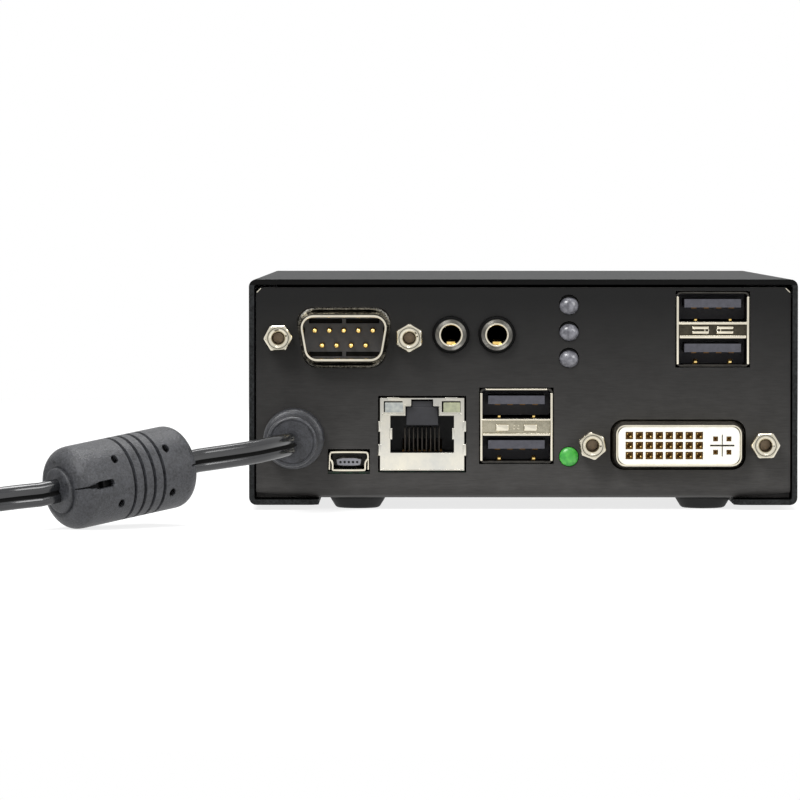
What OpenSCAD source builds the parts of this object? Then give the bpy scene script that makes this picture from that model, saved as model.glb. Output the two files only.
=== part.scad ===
// Receiver of a keyboard, screen and mouse extender: a small sheet-metal desktop box.
// The connector panel faces -Y, +X is to the right of somebody who looks at it, +Z is up.
// The origin lies on the table under the middle of the box, and lengths are millimetres.

/* [Casing] */
// Width of the cover
cover_w = 105; // [105:0.5:125]
// Depth of the cover, from its front edge to its back edge
cover_d = 145; // [140:1:190]
// Height of the cover, from the underside of its lips to its top
cover_h = 43.2; // [43.2:0.1:50]
// Thickness of the cover sheet
cover_t = 1.0; // [0.8:0.1:1.2]
// Outer bend radius of the cover
cover_bend_r = 1.4; // [1.3:0.1:2]
// Height of the lips' underside above the table
lip_ground = 1.0; // [0.95:0.05:1.6]
// Width of the left lip that the cover turns in under the floor
left_lip_w = 13.3; // [11:0.1:15]
// Width of the right lip
right_lip_w = 12.1; // [11:0.1:12.3]
// Chamfer on the lips' inner corners
lip_chamfer = 1.3; // [0.5:0.1:2]
// Thickness of the chassis sheet
chassis_t = 1.0; // [0.8:0.1:1.2]
// Outer bend radius between the panels and the floor
panel_bend_r = 2.4; // [1.8:0.1:3]
// Gap between the panels' side edges and the cover
side_gap = 0.35; // [0.2:0.05:0.6]
// Gap between the panels' top edges and the cover
top_gap = 0.55; // [0.3:0.05:0.8]
// How far the panels sit behind the cover's edges
panel_recess = 0.6; // [0:0.1:1.5]

/* [Feet] */
// Diameter of a foot where it meets the floor
foot_top_d = 10.7; // [9:0.1:10.8]
// Diameter of a foot on the table
foot_base_d = 8.3; // [6:0.1:8.6]
// Distance between the left and right feet
feet_spacing_x = 66.7; // [50:0.1:68]
// How far the feet sit to the right of the middle
feet_shift_x = 1.55; // [0:0.05:2]
// Distance from a panel to the middle of the nearest feet
feet_inset = 9.5; // [8:0.5:30]

/* [Circuit boards] */
// Thickness of both boards
board_t = 1.6; // [1.2:0.2:1.8]
// Width of both boards
board_w = 98; // [96:0.5:100]
// Depth of the main board
main_board_d = 136; // [130:1:140]
// Depth of the upper board
upper_board_d = 96; // [94:1:110]
// Height of the pillars between the floor and the main board
floor_pillar_h = 2.4; // [2.2:0.1:2.6]
// Room between the upper board and the cover
upper_headroom = 16.3; // [15.9:0.1:16.5]
// Distance from the middle to the pillars on either side
pillar_x = 44; // [43:0.5:45]
// Distance from the panel to the front pillars
front_pillar_y = 27; // [26:0.5:28]
// Distance from the front pillars to the upper board's rear pillars
pillar_pitch_y = 62; // [58:1:64]

/* [Serial plug] */
// Place of the serial plug across the panel
serial_x = -34.3; // [-34.5:0.1:-33.5]
// Height of the serial plug's middle above the upper board
serial_rise = 6.15; // [6:0.05:6.3]
// Width of the serial plug's shell
serial_w = 17.7; // [17:0.1:18]
// Height of the serial plug's shell
serial_h = 9.0; // [8.6:0.1:9.2]
// Distance between the serial plug's screws
serial_screw_pitch = 25; // [24.8:0.1:25.2]

/* [Video socket] */
// Place of the video socket across the panel
video_x = 29.65; // [29:0.05:30]
// Height of the video socket's middle above the main board
video_rise = 5.25; // [5.1:0.05:5.5]
// Width of the video socket's shell
video_w = 25.2; // [24.8:0.1:25.5]
// Height of the video socket's shell
video_h = 8.9; // [8.6:0.1:9.1]
// Distance between the video socket's screws
video_screw_pitch = 33; // [32.8:0.1:33.4]

/* [Jackscrews] */
// Width of a jackscrew across its flats
jackscrew_flats = 4.76; // [4.5:0.02:5]
// Length of a jackscrew's hexagon in front of the panel
jackscrew_len = 4.8; // [4.5:0.1:5.5]
// Radius of the threaded hole in a jackscrew
jackscrew_hole_r = 1.15; // [1:0.05:1.25]
// Depth of the threaded hole
jackscrew_hole_len = 4.2; // [3.5:0.1:4.4]

/* [Sound sockets] */
// Place of the left sound socket across the panel
sound_x = -13.85; // [-14:0.05:-13.6]
// Distance between the sound sockets
sound_pitch = 8.8; // [8.6:0.05:9]
// Height of the sound sockets' middle above the upper board
sound_rise = 6.7; // [6.4:0.05:7]
// Diameter of a socket's nose
sound_nose_d = 7.0; // [6.6:0.1:7.4]
// Radius of the bore that takes the sound plug
sound_bore_r = 1.8; // [1.7:0.05:1.9]
// Length of the metal bush around the bore
sound_bush_len = 9; // [7:0.5:11]

/* [Lamps] */
// Place of the lamps across the panel
lamp_x = 8.75; // [8.5:0.05:9.5]
// Diameter of a lamp's lens
lamp_d = 3.7; // [3:0.1:3.9]
// Distance between the status lamps
lamp_pitch = 5.08; // [4.9:0.02:5.1]
// Height of the lowest status lamp above the upper board
lamp_rise = 2.3; // [2.3:0.05:2.5]
// Height of the power lamp above the main board
power_lamp_rise = 2.95; // [2.6:0.05:3.2]

/* [USB socket pairs] */
// Place of the upper pair across the panel
upper_usb_x = 36.25; // [35.5:0.05:37]
// Place of the lower pair across the panel
lower_usb_x = -1.3; // [-1.6:0.05:-0.9]
// Width of a pair's shell
usb_w = 13.9; // [13.6:0.1:14.2]
// Height of a pair's shell
usb_h = 14.3; // [14.1:0.05:14.4]
// Height of the upper pair's shell above its board
upper_usb_rise = 0.6; // [0.5:0.05:0.7]
// Height of the lower pair's shell above its board
lower_usb_rise = 1.7; // [1.5:0.05:1.8]

/* [Network socket] */
// Place of the network socket across the panel
network_x = -19.35; // [-19.5:0.05:-19.2]
// Width of the network socket
network_w = 16.1; // [15.8:0.1:16.3]
// Height of the network socket
network_h = 13.9; // [13.7:0.1:14.1]

/* [Mini USB socket] */
// Place of the mini USB socket across the panel
mini_x = -33.4; // [-33.8:0.05:-33]
// Width of the mini USB socket
mini_w = 7.7; // [7.5:0.1:7.9]
// Height of the mini USB socket
mini_h = 4.0; // [3.9:0.05:4.1]

/* [Power inlet and plug] */
// Place of the power inlet across the panel
inlet_x = -43.8; // [-44:0.05:-43.6]
// Height of the power inlet's middle above the main board
inlet_rise = 6.6; // [6.4:0.05:6.8]
// Length of the plug's grip in front of the panel
grip_len = 18.7; // [18:0.1:19]
// Diameter of the grip's front ring
grip_ring_d = 11.5; // [11:0.1:12]
// Diameter of the grip behind the ring
grip_d = 9.8; // [9.4:0.1:10]
// Diameter of the grip's end face
grip_end_d = 8.6; // [8:0.1:9.2]
// Outer diameter of the plug's metal sleeve
sleeve_d = 5.5; // [5:0.1:5.6]
// Length of the metal sleeve
sleeve_len = 9.5; // [9:0.5:10]

/* [Power lead] */
// Width of the flat two-core lead, which stands on edge
lead_w = 4.4; // [4.3:0.05:4.6]
// Thickness of the lead
lead_t = 2.2; // [2.1:0.05:2.4]
// Diameter of the ferrite's housing
ferrite_d = 15.1; // [14.5:0.1:15.2]
// Length of the ferrite's housing
ferrite_len = 25.6; // [25:0.1:25.8]
// Least radius of the coil
coil_inner_r = 24; // [22:0.5:25]
// Distance from one turn of the coil to the next
coil_pitch = 3.1; // [3.0:0.05:3.4]
// Number of turns in the coil
coil_turns = 7.25; // [5.25:1:7.25]
// Thickness of the tie round the coil
tie_t = 0.6; // [0.5:0.1:0.9]
// Width of the tie
tie_w = 9; // [6:1:12]

/* [Mains adapter] */
// Length of the adapter's case
adapter_l = 72; // [60:1:90]
// Width of the adapter's case
adapter_w = 42; // [36:1:50]
// Thickness of the adapter's case
adapter_h = 27; // [25:1:32]
// Wall of the adapter's case
adapter_wall = 2; // [1.5:0.5:2.5]
// Length of the blades
blade_len = 16; // [15:0.5:17]

/* [Hidden] */

// Roundness of true circles, and straight steps in each rounded corner of an outline
$fn = 48;
corner_steps = 5;
// Overrun of every cut past the face it opens
over = 0.5;
// Clearance of a piece that slips into another, and of a cut-out round a connector
slip = 0.05;
cutout_gap = 0.4;

// Levels, from the table up
floor_low = lip_ground + cover_t + 0.3 * cover_t;
floor_top = floor_low + chassis_t;
cover_top = lip_ground + cover_h;
panel_top = cover_top - cover_t - top_gap;
main_low = floor_top + floor_pillar_h;
main_top = main_low + board_t;
upper_top = cover_top - cover_t - upper_headroom;
upper_low = upper_top - board_t;

// Places from front to back: the jackscrews reach furthest forward
overall_d = cover_d + jackscrew_len - panel_recess;
cover_front = jackscrew_len - panel_recess - overall_d / 2;
cover_back = cover_front + cover_d;
panel_y = cover_front + panel_recess;
back_panel_y = cover_back - panel_recess;
panel_w = cover_w - 2 * cover_t - 2 * side_gap;
board_gap = 1;
board_y = panel_y + chassis_t + board_gap;

// Small sizes of the casing
corner_cut = 1;
wedge_run = 10.7;
wedge_rise = 1.2;
lip_screw_r = 1.25;
lip_screw_head_r = 2.4;
lip_screw_head_h = 0.8;
lip_screw_inset = 6.5;
lip_screw_y = 22;
foot_flange_h = 0.35;
foot_fillet = 0.9;
foot_recess_r = 1.6;
foot_recess_h = 1.2;

// Small sizes of the boards and what they carry
board_hole_r = 1.6;
pillar_d = 5.2;
stud_r = 1.2;
screw_head_r = 2.7;
screw_head_h = 1.9;
socket_r = 0.9;
rear_pillar_inset = 8;
pillars = [for (i = [0, 1], s = [-1, 1]) [s * pillar_x, panel_y + front_pillar_y + i * pillar_pitch_y]];
rear_pillars = [for (s = [-1, 1]) [s * pillar_x, board_y + main_board_d - rear_pillar_inset]];

// Heights of the panel's connectors above the table
serial_z = upper_top + serial_rise;
video_z = main_top + video_rise;
sound_z = upper_top + sound_rise;
lamp_z = upper_top + lamp_rise;
power_lamp_z = main_top + power_lamp_rise;
upper_usb_z = upper_top + upper_usb_rise + usb_h / 2;
lower_usb_z = main_top + lower_usb_rise + usb_h / 2;
network_foot = 0.3;
network_z = main_top + network_foot + network_h / 2;
mini_z = main_top + mini_h / 2;
inlet_z = main_top + inlet_rise;

// Serial plug
flange_t = 0.8;
flange_margin = 6.7;
flange_h = 11.8;
serial_wall = 0.5;
serial_corner_r = 2.6;
serial_slant = 10;
serial_proud = 4.6;
serial_cut_w = 19.3;
serial_cut_h = 11.7;
pin_pitch = 2.77;
pin_row_pitch = 2.84;
pin_r = 0.5;
pin_proud = 4.0;
pin_tail = 6;
insulator_sink = 0.4;
// dark recesses at the serial block's sides, from its middle outwards, their top and depth
insulator_side = 7.45;
insulator_side_top = 1.97;
insulator_side_d = 1.2;
serial_block_w = 20;
serial_block_d = 9;
slot_len = 6.4;
slot_h = 0.9;
slot_row = 3.15;
slot_bridge = 0.7;

// Video socket
video_wall = 0.45;
video_corner_r = 2.2;
video_proud = 4.0;
video_flange_margin = 4;
video_flange_h = 10.2;
insert_w = 23.2;
insert_h = 7.3;
insert_corner_r = 1.7;
insert_sink = 0.25;
video_block_d = 12;
video_block_w = 26;
contact_pitch = 1.905;
contact_side = 1.45;
contact_depth = 3;
contact_sink = 0.5;
grid_shift = -2.8;
cross_shift = 8.25;
cross_w = 4.65;
cross_w_slot = 0.35;
cross_h = 4.2;
cross_h_slot = 0.2;
corner_pitch = 2.55;
corner_side = 0.95;
leaf_gap = 0.1;
leaf_t = 0.2;

// Jackscrews
washer_t = 0.45;
stem_r = 1.35;
stem_len = 5;
stem_hole_r = 1.6;

// Sound sockets
sound_block_w = 8.3;
sound_block_h = 9.3;
sound_block_d = 13;
sound_proud = 1.6;
sound_bush_r = 3.0;
sound_lip = 0.25;
sound_chamfer = 0.2;

// Lamps
lamp_proud = 0.6;
dome_h = 1.0;
lamp_base = 1.6;
lamp_fit = 0.06;
holder_w = 4.6;
holder_d = 7;

// USB pairs
usb_wall = 0.33;
usb_corner_r = 0.8;
usb_depth = 17.5;
usb_proud = 0.5;
port_h = 5.1;
usb_mouth_depth = 9.2;
tongue_w = 10.8;
tongue_t = 1.6;
tongue_drop = 1.05;
tongue_sink = 0.6;
usb_strip_w = 1.0;
usb_strip_t = 0.2;
usb_strip_pitch = 2.4;
usb_strip_sink = 0.8;
finger_w = 2.5;
finger_h = 1.1;
finger_x = 2.45;
finger_d = 0.5;
divider_sink = 0.35;
usb_base_inset = 0.6;

// Network socket
network_wall = 0.3;
network_depth = 21;
network_proud = 0.5;
mouth_w = 12.2;
mouth_h = 7.1;
mouth_drop = 3.4;
mouth_depth = 12.5;
notch_w = 6.4;
notch_h = 1.9;
catch_w = 4.2;
catch_h = 1.25;
stop_depth = 5.5;
stop_hang = 2;
stop_len = 2;
light_w = 3.6;
light_h = 2.1;
light_x = 5.55;
light_drop = 0.6;
light_len = 9;
wire_w = 0.5;
wire_t = 0.3;
wire_pitch = 1.02;
wire_run = 6.5;
wire_rise = 1.9;

// Mini USB socket
mini_wall = 0.3;
mini_depth = 9;
mini_proud = 0.2;
mini_step = 0.6;
mini_low_share = 0.42;
mini_high_share = 0.58;
mini_corner_r = 0.5;
mini_tongue_w = 4.7;
mini_tongue_t = 1.45;
mini_tongue_sink = 0.9;
mini_tongue_drop = 1.6;
mini_back_d = 2.5;
mini_strip_w = 0.35;
mini_strip_pitch = 0.8;

// Power inlet and plug
inlet_w = 9;
inlet_h = 11;
inlet_d = 14;
inlet_hole_r = 3.1;
inlet_pin_r = 1.0;
inlet_pin_sink = 1.5;
inlet_floor = 2.5;
sleeve_bore_r = 1.28;
plug_gap = 0.3;
ring_len = 7;
ring_round = 0.9;
grip_round = 0.8;

// Power lead, ferrite, coil and adapter
ferrite_ahead = 52.5;
ferrite_x = -74;
ferrite_z = 9.04;
ferrite_pitch = 8.3;
ferrite_yaw = 38;
ferrite_round = 2.4;
groove_r = 0.38;
groove_pitch = 2.15;
groove_shift = 1.4;
groove_count = 4;
boss_r = 4.1;
boss_h = 0.4;
layer_gap = 0.6;
tie_gap = 0.3;
adapter_corner_r = 3;
adapter_split_share = 0.66;
adapter_behind = 5.6;
relief_len = 14;
relief_r = 3.6;
relief_tip_r = 3.0;
relief_grooves = 4;
blade_w = 6.4;
blade_t = 1.5;
blade_pitch = 12.7;
blade_inset = 22;
blade_root = 4;
supply_clear = 0.8;
supply_board_t = 1.6;
transformer_w = 18;
transformer_l = 22;

// Sections of the lead as shares of half its thickness and half its width
strand_share = 0.87;
web_share = 0.5;
lead_section_shares = [
    [0, 1], [strand_share, 0.75], [strand_share, 0.25], [web_share, 0],
    [strand_share, -0.25], [strand_share, -0.75], [0, -1], [-strand_share, -0.75],
    [-strand_share, -0.25], [-web_share, 0], [-strand_share, 0.25], [-strand_share, 0.75]];
coil_section_shares = [[0, 1], [0.9, 0.5], [0.9, -0.5], [0, -1], [-0.9, -0.5], [-0.9, 0.5]];

// Route of the lead from the plug to the ferrite, and from the ferrite to the coil
front_route = [[-44.4, -97, 13.8], [-46.9, -101.8, 13.4], [-51, -105.6, 12.7]];
rear_route = [[-91.5, -135.1, 6.2], [-96, -136.6, 5.7], [-102, -137.7, 5.0], [-109.5, -138.2, 4.2],
    [-118, -138.4, 3.6], [-127, -138.4, 3.1], [-135, -138.4, 3.1]];
coil_entry = [-146, -138.4];
route_steps = 2;
coil_steps = 24;

// Outlines
function unit(v) = v / norm(v);

function corner(a, p, b, r) =
    let (u = unit(a - p), v = unit(b - p))
    let (opening = acos(u * v), turn = 180 - opening)
    let (middle = p + unit(u + v) * r / sin(opening / 2))
    let (from = p + u * r / tan(opening / 2) - middle, to = p + v * r / tan(opening / 2) - middle)
    [for (i = [0:corner_steps])
        let (share = i / corner_steps)
        middle + (from * sin((1 - share) * turn) + to * sin(share * turn)) / sin(turn)];

function rounded(points, r) =
    let (n = len(points))
    [for (i = [0:n - 1]) each corner(points[(i + n - 1) % n], points[i], points[(i + 1) % n], r)];

function box_points(w, h) = [[-w / 2, -h / 2], [w / 2, -h / 2], [w / 2, h / 2], [-w / 2, h / 2]];

function d_points(w, h) =
    let (slant = h * tan(serial_slant))
    [[-w / 2 + slant, -h / 2], [w / 2 - slant, -h / 2], [w / 2, h / 2], [-w / 2, h / 2]];

function mini_points(w, h) =
    [[-w / 2 + mini_step, -h / 2], [w / 2 - mini_step, -h / 2],
     [w / 2 - mini_step, -h / 2 + h * mini_low_share], [w / 2, -h / 2 + h * mini_high_share],
     [w / 2, h / 2], [-w / 2, h / 2],
     [-w / 2, -h / 2 + h * mini_high_share], [-w / 2 + mini_step, -h / 2 + h * mini_low_share]];

module rounded_box_2d(w, h, r) {
    polygon(rounded(box_points(w, h), r));
}

// Everything in a panel frame lies with its Z axis out of the panel, 0 on the outer face
module at_panel(x, z) {
    translate([x, panel_y, z])
        rotate([90, 0, 0])
            children();
}

module span(from, to) {
    translate([0, 0, from])
        linear_extrude(to - from)
            children();
}

module on_boards(x, y, z) {
    translate([x, panel_y + y, z])
        children();
}

module block(w, d, h) {
    translate([-w / 2, -d / 2, 0])
        cube([w, d, h]);
}

// Casing
lip_screws = [for (y = [cover_front + lip_screw_y, cover_back - lip_screw_y], s = [-1, 1])
    [s * (cover_w / 2 - lip_screw_inset), y]];

module lip_corner(side, lip_w, y) {
    translate([side * (cover_w / 2 - lip_w), y, lip_ground])
        rotate([0, 0, 45])
            translate([0, 0, cover_t / 2])
                cube([sqrt(2) * lip_chamfer, sqrt(2) * lip_chamfer, cover_t + 2 * over], center = true);
}

module cover() {
    gap_w = cover_w - left_lip_w - right_lip_w;
    color([0.16, 0.16, 0.16])
        difference() {
            translate([0, cover_back, lip_ground + cover_h / 2])
                rotate([90, 0, 0])
                    linear_extrude(cover_d)
                        difference() {
                            rounded_box_2d(cover_w, cover_h, cover_bend_r);
                            rounded_box_2d(cover_w - 2 * cover_t, cover_h - 2 * cover_t,
                                cover_bend_r - cover_t + slip);
                            translate([(left_lip_w - right_lip_w) / 2, -cover_h / 2 + cover_t / 2])
                                square([gap_w, cover_t + 2 * over], center = true);
                        }
            for (y = [cover_front, cover_back]) {
                lip_corner(-1, left_lip_w, y);
                lip_corner(1, right_lip_w, y);
            }
            for (p = lip_screws)
                translate([p[0], p[1], lip_ground - over])
                    cylinder(h = cover_t + 2 * over, r = lip_screw_r + slip);
        }
}

function tray_points(from, to, low, high, r) =
    concat([[from, high]], corner([from, high], [from, low], [to, low], r),
        corner([from, low], [to, low], [to, high], r), [[to, high]]);

module panel_cutouts() {
    at_panel(serial_x, serial_z)
        span(-chassis_t - over, over)
            polygon(rounded(d_points(serial_cut_w, serial_cut_h), serial_corner_r + cutout_gap));
    for (s = [-1, 1]) {
        at_panel(serial_x + s * serial_screw_pitch / 2, serial_z)
            translate([0, 0, -chassis_t - over])
                cylinder(h = chassis_t + 2 * over, r = stem_hole_r);
        at_panel(video_x + s * video_screw_pitch / 2, video_z)
            translate([0, 0, -chassis_t - over])
                cylinder(h = chassis_t + 2 * over, r = stem_hole_r);
    }
    at_panel(video_x, video_z)
        span(-chassis_t - over, over)
            rounded_box_2d(video_w + 2 * cutout_gap, video_h + 2 * cutout_gap, video_corner_r + cutout_gap);
    for (i = [0, 1])
        at_panel(sound_x + i * sound_pitch, sound_z)
            translate([0, 0, -chassis_t - over])
                cylinder(h = chassis_t + 2 * over, r = sound_nose_d / 2 + 2 * slip);
    for (z = concat([power_lamp_z], [for (i = [0:2]) lamp_z + i * lamp_pitch]))
        at_panel(lamp_x, z)
            translate([0, 0, -chassis_t - over])
                cylinder(h = chassis_t + 2 * over, r = lamp_d / 2 + 2 * slip);
    for (p = [[upper_usb_x, upper_usb_z], [lower_usb_x, lower_usb_z]])
        at_panel(p[0], p[1])
            span(-chassis_t - over, over)
                square([usb_w + cutout_gap, usb_h + cutout_gap], center = true);
    at_panel(network_x, network_z)
        span(-chassis_t - over, over)
            square([network_w + 2 * cutout_gap, network_h + 2 * cutout_gap], center = true);
    at_panel(mini_x, mini_z)
        span(-chassis_t - over, over)
            square([mini_w + cutout_gap, mini_h + 2 * cutout_gap], center = true);
    at_panel(inlet_x, inlet_z)
        translate([0, 0, -chassis_t - over])
            cylinder(h = chassis_t + 2 * over, r = inlet_hole_r + cutout_gap);
}

module chassis() {
    color([0.2, 0.2, 0.2])
        difference() {
            translate([-panel_w / 2, 0, 0])
                rotate([90, 0, 90])
                    linear_extrude(panel_w)
                        difference() {
                            polygon(tray_points(panel_y, back_panel_y, floor_low, panel_top, panel_bend_r));
                            polygon(tray_points(panel_y + chassis_t, back_panel_y - chassis_t,
                                floor_top, panel_top + over, panel_bend_r - chassis_t));
                        }
            panel_cutouts();
            for (s = [-1, 1]) {
                translate([s * panel_w / 2, panel_y, panel_top])
                    rotate([0, 45, 0])
                        cube([sqrt(2) * corner_cut, 2 * (chassis_t + over), sqrt(2) * corner_cut],
                            center = true);
                scale([s, 1, 1])
                    for (y = [panel_y - over, back_panel_y - panel_bend_r])
                        translate([panel_w / 2, y + panel_bend_r + over, floor_low])
                            rotate([90, 0, 0])
                                linear_extrude(panel_bend_r + over)
                                    polygon([[over, -over], [over, wedge_rise], [-wedge_run, 0],
                                        [-wedge_run, -over]]);
            }
            for (p = lip_screws)
                translate([p[0], p[1], floor_low - over])
                    cylinder(h = chassis_t + 2 * over, r = lip_screw_r + slip);
        }
}

module cover_screws() {
    color([0.12, 0.12, 0.12])
        for (p = lip_screws)
            translate([p[0], p[1], lip_ground - lip_screw_head_h])
                difference() {
                    union() {
                        cylinder(h = lip_screw_head_h, r = lip_screw_head_r);
                        cylinder(h = floor_top - lip_ground + lip_screw_head_h, r = lip_screw_r);
                    }
                    translate([0, 0, -over])
                        cylinder(h = over + lip_screw_head_h / 2, r = lip_screw_r / 2 * socket_r, $fn = 6);
                }
}

module rubber_feet() {
    top_r = foot_top_d / 2;
    base_r = foot_base_d / 2;
    outline = concat(
        [[0, floor_low], [0, foot_recess_h], [foot_recess_r, foot_recess_h], [foot_recess_r, 0]],
        corner([0, 0], [base_r, 0], [top_r, floor_low - foot_flange_h], foot_fillet),
        [[top_r, floor_low - foot_flange_h], [top_r, floor_low]]);
    color([0.1, 0.1, 0.1])
        for (y = [panel_y + feet_inset, back_panel_y - feet_inset], s = [-1, 1])
            translate([feet_shift_x + s * feet_spacing_x / 2, y, 0])
                rotate_extrude()
                    polygon(outline);
}

// Circuit boards and what carries them
module board(depth, low, holes) {
    difference() {
        translate([-board_w / 2, board_y, low])
            cube([board_w, depth, board_t]);
        for (p = holes)
            translate([p[0], p[1], low - over])
                cylinder(h = board_t + 2 * over, r = board_hole_r);
    }
}

module main_board() {
    color([0.05, 0.3, 0.15])
        board(main_board_d, main_low, concat(pillars, rear_pillars));
}

module upper_board() {
    color([0.05, 0.3, 0.15])
        board(upper_board_d, upper_low, pillars);
}

module pillar(h, bore_h) {
    difference() {
        cylinder(h = h, d = pillar_d);
        translate([0, 0, h - bore_h])
            cylinder(h = bore_h + over, r = stud_r + slip);
    }
}

module floor_pillars() {
    color([0.75, 0.75, 0.72])
        for (p = concat(pillars, rear_pillars))
            translate([p[0], p[1], floor_top])
                pillar(floor_pillar_h, floor_pillar_h - slip);
}

module board_spacers() {
    spacer_h = upper_low - main_top;
    stud_len = board_t + floor_pillar_h / 2;
    color([0.8, 0.7, 0.4])
        for (p = pillars)
            translate([p[0], p[1], main_top]) {
                difference() {
                    cylinder(h = spacer_h, d = pillar_d / cos(30), $fn = 6);
                    translate([0, 0, spacer_h / 2])
                        cylinder(h = spacer_h, r = stud_r + slip);
                }
                translate([0, 0, -stud_len])
                    cylinder(h = stud_len, r = stud_r);
            }
}

module board_screw() {
    shaft = board_t + floor_pillar_h / 2;
    difference() {
        union() {
            cylinder(h = screw_head_h, r = screw_head_r);
            translate([0, 0, -shaft])
                cylinder(h = shaft, r = stud_r);
        }
        translate([0, 0, screw_head_h / 2])
            cylinder(h = screw_head_h, r = socket_r, $fn = 6);
    }
}

module board_screws() {
    color([0.75, 0.75, 0.75]) {
        for (p = pillars)
            translate([p[0], p[1], upper_top])
                board_screw();
        for (p = rear_pillars)
            translate([p[0], p[1], main_top])
                board_screw();
    }
}

header_w = 34;
header_d = 5.2;
header_y = 76;
module board_headers() {
    half = (upper_low - main_top) / 2;
    color([0.1, 0.1, 0.1])
        for (z = [main_top, main_top + half])
            on_boards(0, header_y, z)
                block(header_w, header_d, half);
}

chip_side = 23;
chip_h = 1.8;
processor_x = 10;
processor_y = 45;
module processor() {
    color([0.12, 0.12, 0.13])
        on_boards(processor_x, processor_y, main_top)
            block(chip_side, chip_side, chip_h);
}

sink_side = 27;
sink_base = 2;
sink_h = 10;
fin_t = 1;
fin_count = 8;
module heat_sink() {
    fin_pitch = (sink_side - fin_t) / (fin_count - 1);
    color([0.2, 0.2, 0.22])
        on_boards(processor_x, processor_y, main_top + chip_h) {
            block(sink_side, sink_side, sink_base);
            for (i = [0:fin_count - 1])
                translate([-sink_side / 2 + i * fin_pitch, -sink_side / 2, 0])
                    cube([fin_t, sink_side, sink_h]);
        }
}

memory_w = 8;
memory_d = 12.5;
memory_h = 1.2;
memory_x = 34;
memory_pitch = 16;
module memory_chips() {
    color([0.1, 0.1, 0.11])
        for (i = [0, 1])
            on_boards(memory_x, processor_y - memory_pitch / 2 + i * memory_pitch, main_top)
                block(memory_w, memory_d, memory_h);
}

interface_w = 12;
interface_d = 9;
interface_h = 1.5;
interface_y = 32;
module interface_chips() {
    color([0.1, 0.1, 0.11])
        for (x = [serial_x + interface_w, sound_x + 2 * interface_w])
            on_boards(x, interface_y, upper_top)
                block(interface_w, interface_d, interface_h);
}

transformer_d = 9;
network_transformer_h = 5.6;
network_transformer_y = 33;
module network_transformer() {
    color([0.13, 0.13, 0.13])
        on_boards(network_x, network_transformer_y, main_top)
            block(network_w, transformer_d, network_transformer_h);
}

capacitor_r = 4;
capacitor_h = 11.5;
capacitor_x = -36;
capacitor_y = 46;
capacitor_pitch = 10;
module capacitors() {
    color([0.25, 0.25, 0.3])
        for (i = [0:2])
            on_boards(capacitor_x, capacitor_y + i * capacitor_pitch, main_top)
                cylinder(h = capacitor_h, r = capacitor_r);
}

inductor_side = 10;
inductor_h = 4.5;
inductor_x = -22;
inductor_y = 47;
inductor_pitch = 13;
module inductors() {
    color([0.2, 0.2, 0.2])
        for (i = [0, 1])
            on_boards(inductor_x, inductor_y + i * inductor_pitch, main_top)
                block(inductor_side, inductor_side, inductor_h);
}

crystal_w = 11;
crystal_d = 4.6;
crystal_h = 3.5;
crystal_y = 64;
module crystal() {
    color([0.75, 0.75, 0.75])
        on_boards(processor_x, crystal_y, main_top)
            linear_extrude(crystal_h)
                rounded_box_2d(crystal_w, crystal_d, crystal_d / 2 - slip);
}

// Serial plug
flange_back = -chassis_t - flange_t;
serial_inner_w = serial_w - 2 * serial_wall;
serial_inner_h = serial_h - 2 * serial_wall;

module serial_shell() {
    color([0.72, 0.7, 0.66])
        at_panel(serial_x, serial_z)
            difference() {
                union() {
                    span(flange_back, -chassis_t)
                        square([serial_screw_pitch + flange_margin, flange_h], center = true);
                    span(-chassis_t - slip, serial_proud)
                        polygon(rounded(d_points(serial_w, serial_h), serial_corner_r));
                }
                span(flange_back - over, serial_proud + over)
                    polygon(rounded(d_points(serial_inner_w, serial_inner_h), serial_corner_r - serial_wall));
                for (s = [-1, 1])
                    translate([s * serial_screw_pitch / 2, 0, flange_back - over])
                        cylinder(h = flange_t + 2 * over, r = stem_hole_r);
            }
}

serial_pin_places = concat(
    [for (i = [-2:2]) [i * pin_pitch, pin_row_pitch / 2]],
    [for (i = [-1.5:1:1.5]) [i * pin_pitch, -pin_row_pitch / 2]]);

module serial_insulator() {
    fit_w = serial_inner_w - 2 * slip;
    fit_h = serial_inner_h - 2 * slip;
    block_top = serial_inner_h / 2;
    color([0.15, 0.15, 0.16])
        at_panel(serial_x, serial_z)
            difference() {
                union() {
                    span(flange_back - slip, -insulator_sink)
                        polygon(rounded(d_points(fit_w, fit_h), serial_corner_r - serial_wall - slip));
                    translate([-serial_block_w / 2, -serial_rise, flange_back - serial_block_d])
                        cube([serial_block_w, serial_rise + block_top, serial_block_d]);
                }
                for (p = serial_pin_places)
                    translate([p[0], p[1], flange_back - pin_tail])
                        cylinder(h = pin_tail + 2 * over - flange_back, r = pin_r + slip);
                for (sx = [-1, 1], sy = [-1, 1])
                    translate([sx * (slot_len + slot_bridge) / 2, sy * slot_row, -insulator_sink])
                        cube([slot_len, slot_h, 2 * slot_h], center = true);
                for (sx = [-1, 1])
                    translate([sx * (insulator_side + serial_w / 2), insulator_side_top - serial_h / 2,
                               -insulator_sink])
                        cube([serial_w, serial_h, 2 * insulator_side_d], center = true);
            }
}

module serial_pins() {
    color([0.85, 0.7, 0.35])
        at_panel(serial_x, serial_z)
            for (p = serial_pin_places) {
                translate([p[0], p[1], flange_back - pin_tail])
                    cylinder(h = pin_tail - flange_back + pin_proud - pin_r, r = pin_r);
                translate([p[0], p[1], pin_proud - pin_r])
                    sphere(r = pin_r, $fn = 16);
            }
}

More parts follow.
